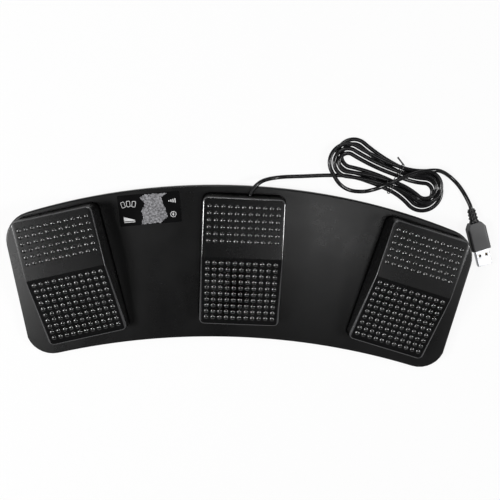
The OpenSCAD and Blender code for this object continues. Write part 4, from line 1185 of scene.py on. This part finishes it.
class FOOTSWITCH_OT_plug(BuildOperator, bpy.types.Operator):
    """Plug with its ribbed strain relief, moulded grip and steel shell"""

    bl_idname = "footswitch.plug"
    bl_label = "Plug"

    def execute(self, context):
        s = sizes()
        at = plug_matrix()
        ribs = rib_tree(finish("cord"), count=4, thin_d=5.6 * MM, thick_d=6.8 * MM, rib_h=0.6 * MM,
                        whole=RELIEF_L * MM)
        relief = ribs.piece("plug_relief", at @ Matrix.Translation((-RELIEF_L * MM, 0, 0)))
        place(relief, "base", "plug_plastic", "plug_strain_relief")
        dressed("plug_handle", "plug_grip", "plug", "plug_plastic", edge=s.grip_ease)
        dressed("plug_sleeve", "plug_shell", "plug_steel", "plug_steel", edge=s.shell_ease)
        dress("plug_insert", "pale")
        dress("plug_contacts", "contact")
        return {"FINISHED"}


class FOOTSWITCH_OT_tie(BuildOperator, bpy.types.Operator):
    """Twist tie round the hank's waist, with its twisted ends"""

    bl_idname = "footswitch.tie"
    bl_label = "Twist tie"

    def execute(self, context):
        at = Matrix.Translation((*(c * MM for c in HANK_WAIST), 0)) @ Matrix.Rotation(HANK_TURN, 4, "Z")
        (low, high), (front, rear) = TIE_HEIGHT, TIE_REACH
        loop = [Vector((0, y + (rear - front) / 2, z + (low + high) / 2))
                for y, z in rounded_box(front + rear, high - low, TIE_CORNER, steps=6)]
        whole = round_curve("tie_band", [at @ (p * MM) for p in loop], TIE_LOOP_D * MM, finish("tie"))
        whole.data.splines[0].use_cyclic_u = True
        parts = [baked_curve(whole)]
        root = Vector((0, rear, TIE_END_Z))
        along = Vector((-math.sin(TIE_END_LEAN), math.cos(TIE_END_LEAN), 0))
        side = along.cross(UP).normalized()
        up = side.cross(along)
        for phase in (0, math.pi):
            twist = []
            for t in (k / TIE_STEPS for k in range(TIE_STEPS + 1)):
                angle = phase + t * TIE_TURNS * 2 * math.pi
                radius = TIE_TWIST_R + TIE_SPREAD * max(0, t - TIE_TIP)
                off = (side * math.cos(angle) + up * math.sin(angle)) * radius
                twist.append(at @ ((root + along * TIE_END_L * t + off) * MM))
            parts.append(tube("tie_end", twist, TIE_END_D * MM, "tie", resolution=2))
        tie = joined("tie_strip", parts)
        place(tie, "base", "tie", "hank_tie")
        return {"FINISHED"}


class FOOTSWITCH_OT_cord(BuildOperator, bpy.types.Operator):
    """Cord from the grommet through its tied hank to the plug"""

    bl_idname = "footswitch.cord"
    bl_label = "Cord"

    def execute(self, context):
        s = sizes()
        points = cord_points(s.cord_d / MM)
        cord = round_curve("cord", points, s.cord_d, finish("cord"), resolution=5)
        place(cord, "base", "cord_sheath", "cord_lead", "cord_hank", "cord_tail")
        on_cord = [bpy.data.objects[name] for name in ("tie_strip", "plug_relief", "plug_handle", "plug_sleeve")]
        on_cord += [frame["nodes"][name] for name in ("plug_insert", "plug_contacts")]
        return {"FINISHED"}


class FOOTSWITCH_OT_mechanism(BuildOperator, bpy.types.Operator):
    """Finishes of the pins, stops, switches, boards and their small parts"""

    bl_idname = "footswitch.mechanism"
    bl_label = "Mechanism"

    def execute(self, context):
        for side in SIDES:
            for node, key in (("hinge_pin", "steel"), ("bump_stops", "rubber"), ("switch_body", "switch"),
                              ("switch_plunger", "plunger"), ("switch_terminals", "contact")):
                dress(f"{side}_{node}", key)
        for node, key in (("left_switch_board", "board"), ("controller_board", "board"),
                          ("right_switch_board", "board"), ("controller_chip", "switch"),
                          ("lead_connectors", "pale"), ("cord_grommet", "rubber")):
            dress(node, key)
        return {"FINISHED"}


class FOOTSWITCH_PT_panel(bpy.types.Panel):
    """Pieces and finishes of the foot switch"""

    bl_label = "Foot Switch"
    bl_idname = "FOOTSWITCH_PT_panel"
    bl_space_type = "VIEW_3D"
    bl_region_type = "UI"
    bl_category = "Foot Switch"

    def draw(self, context):
        for operator in OPERATORS:
            self.layout.operator(operator.bl_idname)
        for group in (context.scene.foot_switch_sizes, context.scene.foot_switch_colours):
            box = self.layout.box()
            for key in group.__annotations__:
                box.prop(group, key)


OPERATORS = [
    FOOTSWITCH_OT_stage, FOOTSWITCH_OT_plug, FOOTSWITCH_OT_tie, FOOTSWITCH_OT_cord, FOOTSWITCH_OT_base,
    FOOTSWITCH_OT_pedals, FOOTSWITCH_OT_label, FOOTSWITCH_OT_springs, FOOTSWITCH_OT_wiring,
    FOOTSWITCH_OT_fasteners, FOOTSWITCH_OT_mechanism,
]
CLASSES = [FootSwitchSizes, FootSwitchColours, *OPERATORS, FOOTSWITCH_PT_panel]


def register():
    for cls in CLASSES:
        bpy.utils.register_class(cls)
    bpy.types.Scene.foot_switch_sizes = PointerProperty(type=FootSwitchSizes)
    bpy.types.Scene.foot_switch_colours = PointerProperty(type=FootSwitchColours)


def unregister():
    del bpy.types.Scene.foot_switch_colours
    del bpy.types.Scene.foot_switch_sizes
    for cls in reversed(CLASSES):
        bpy.utils.unregister_class(cls)


def main():
    register()
    bpy.ops.footswitch.stage()
    bpy.ops.footswitch.plug()
    bpy.ops.footswitch.tie()
    bpy.ops.footswitch.cord()
    bpy.ops.footswitch.base()
    bpy.ops.footswitch.pedals()
    bpy.ops.footswitch.label()
    bpy.ops.footswitch.springs()
    bpy.ops.footswitch.wiring()
    bpy.ops.footswitch.fasteners()
    bpy.ops.footswitch.mechanism()


if __name__ == "__main__":
    main()
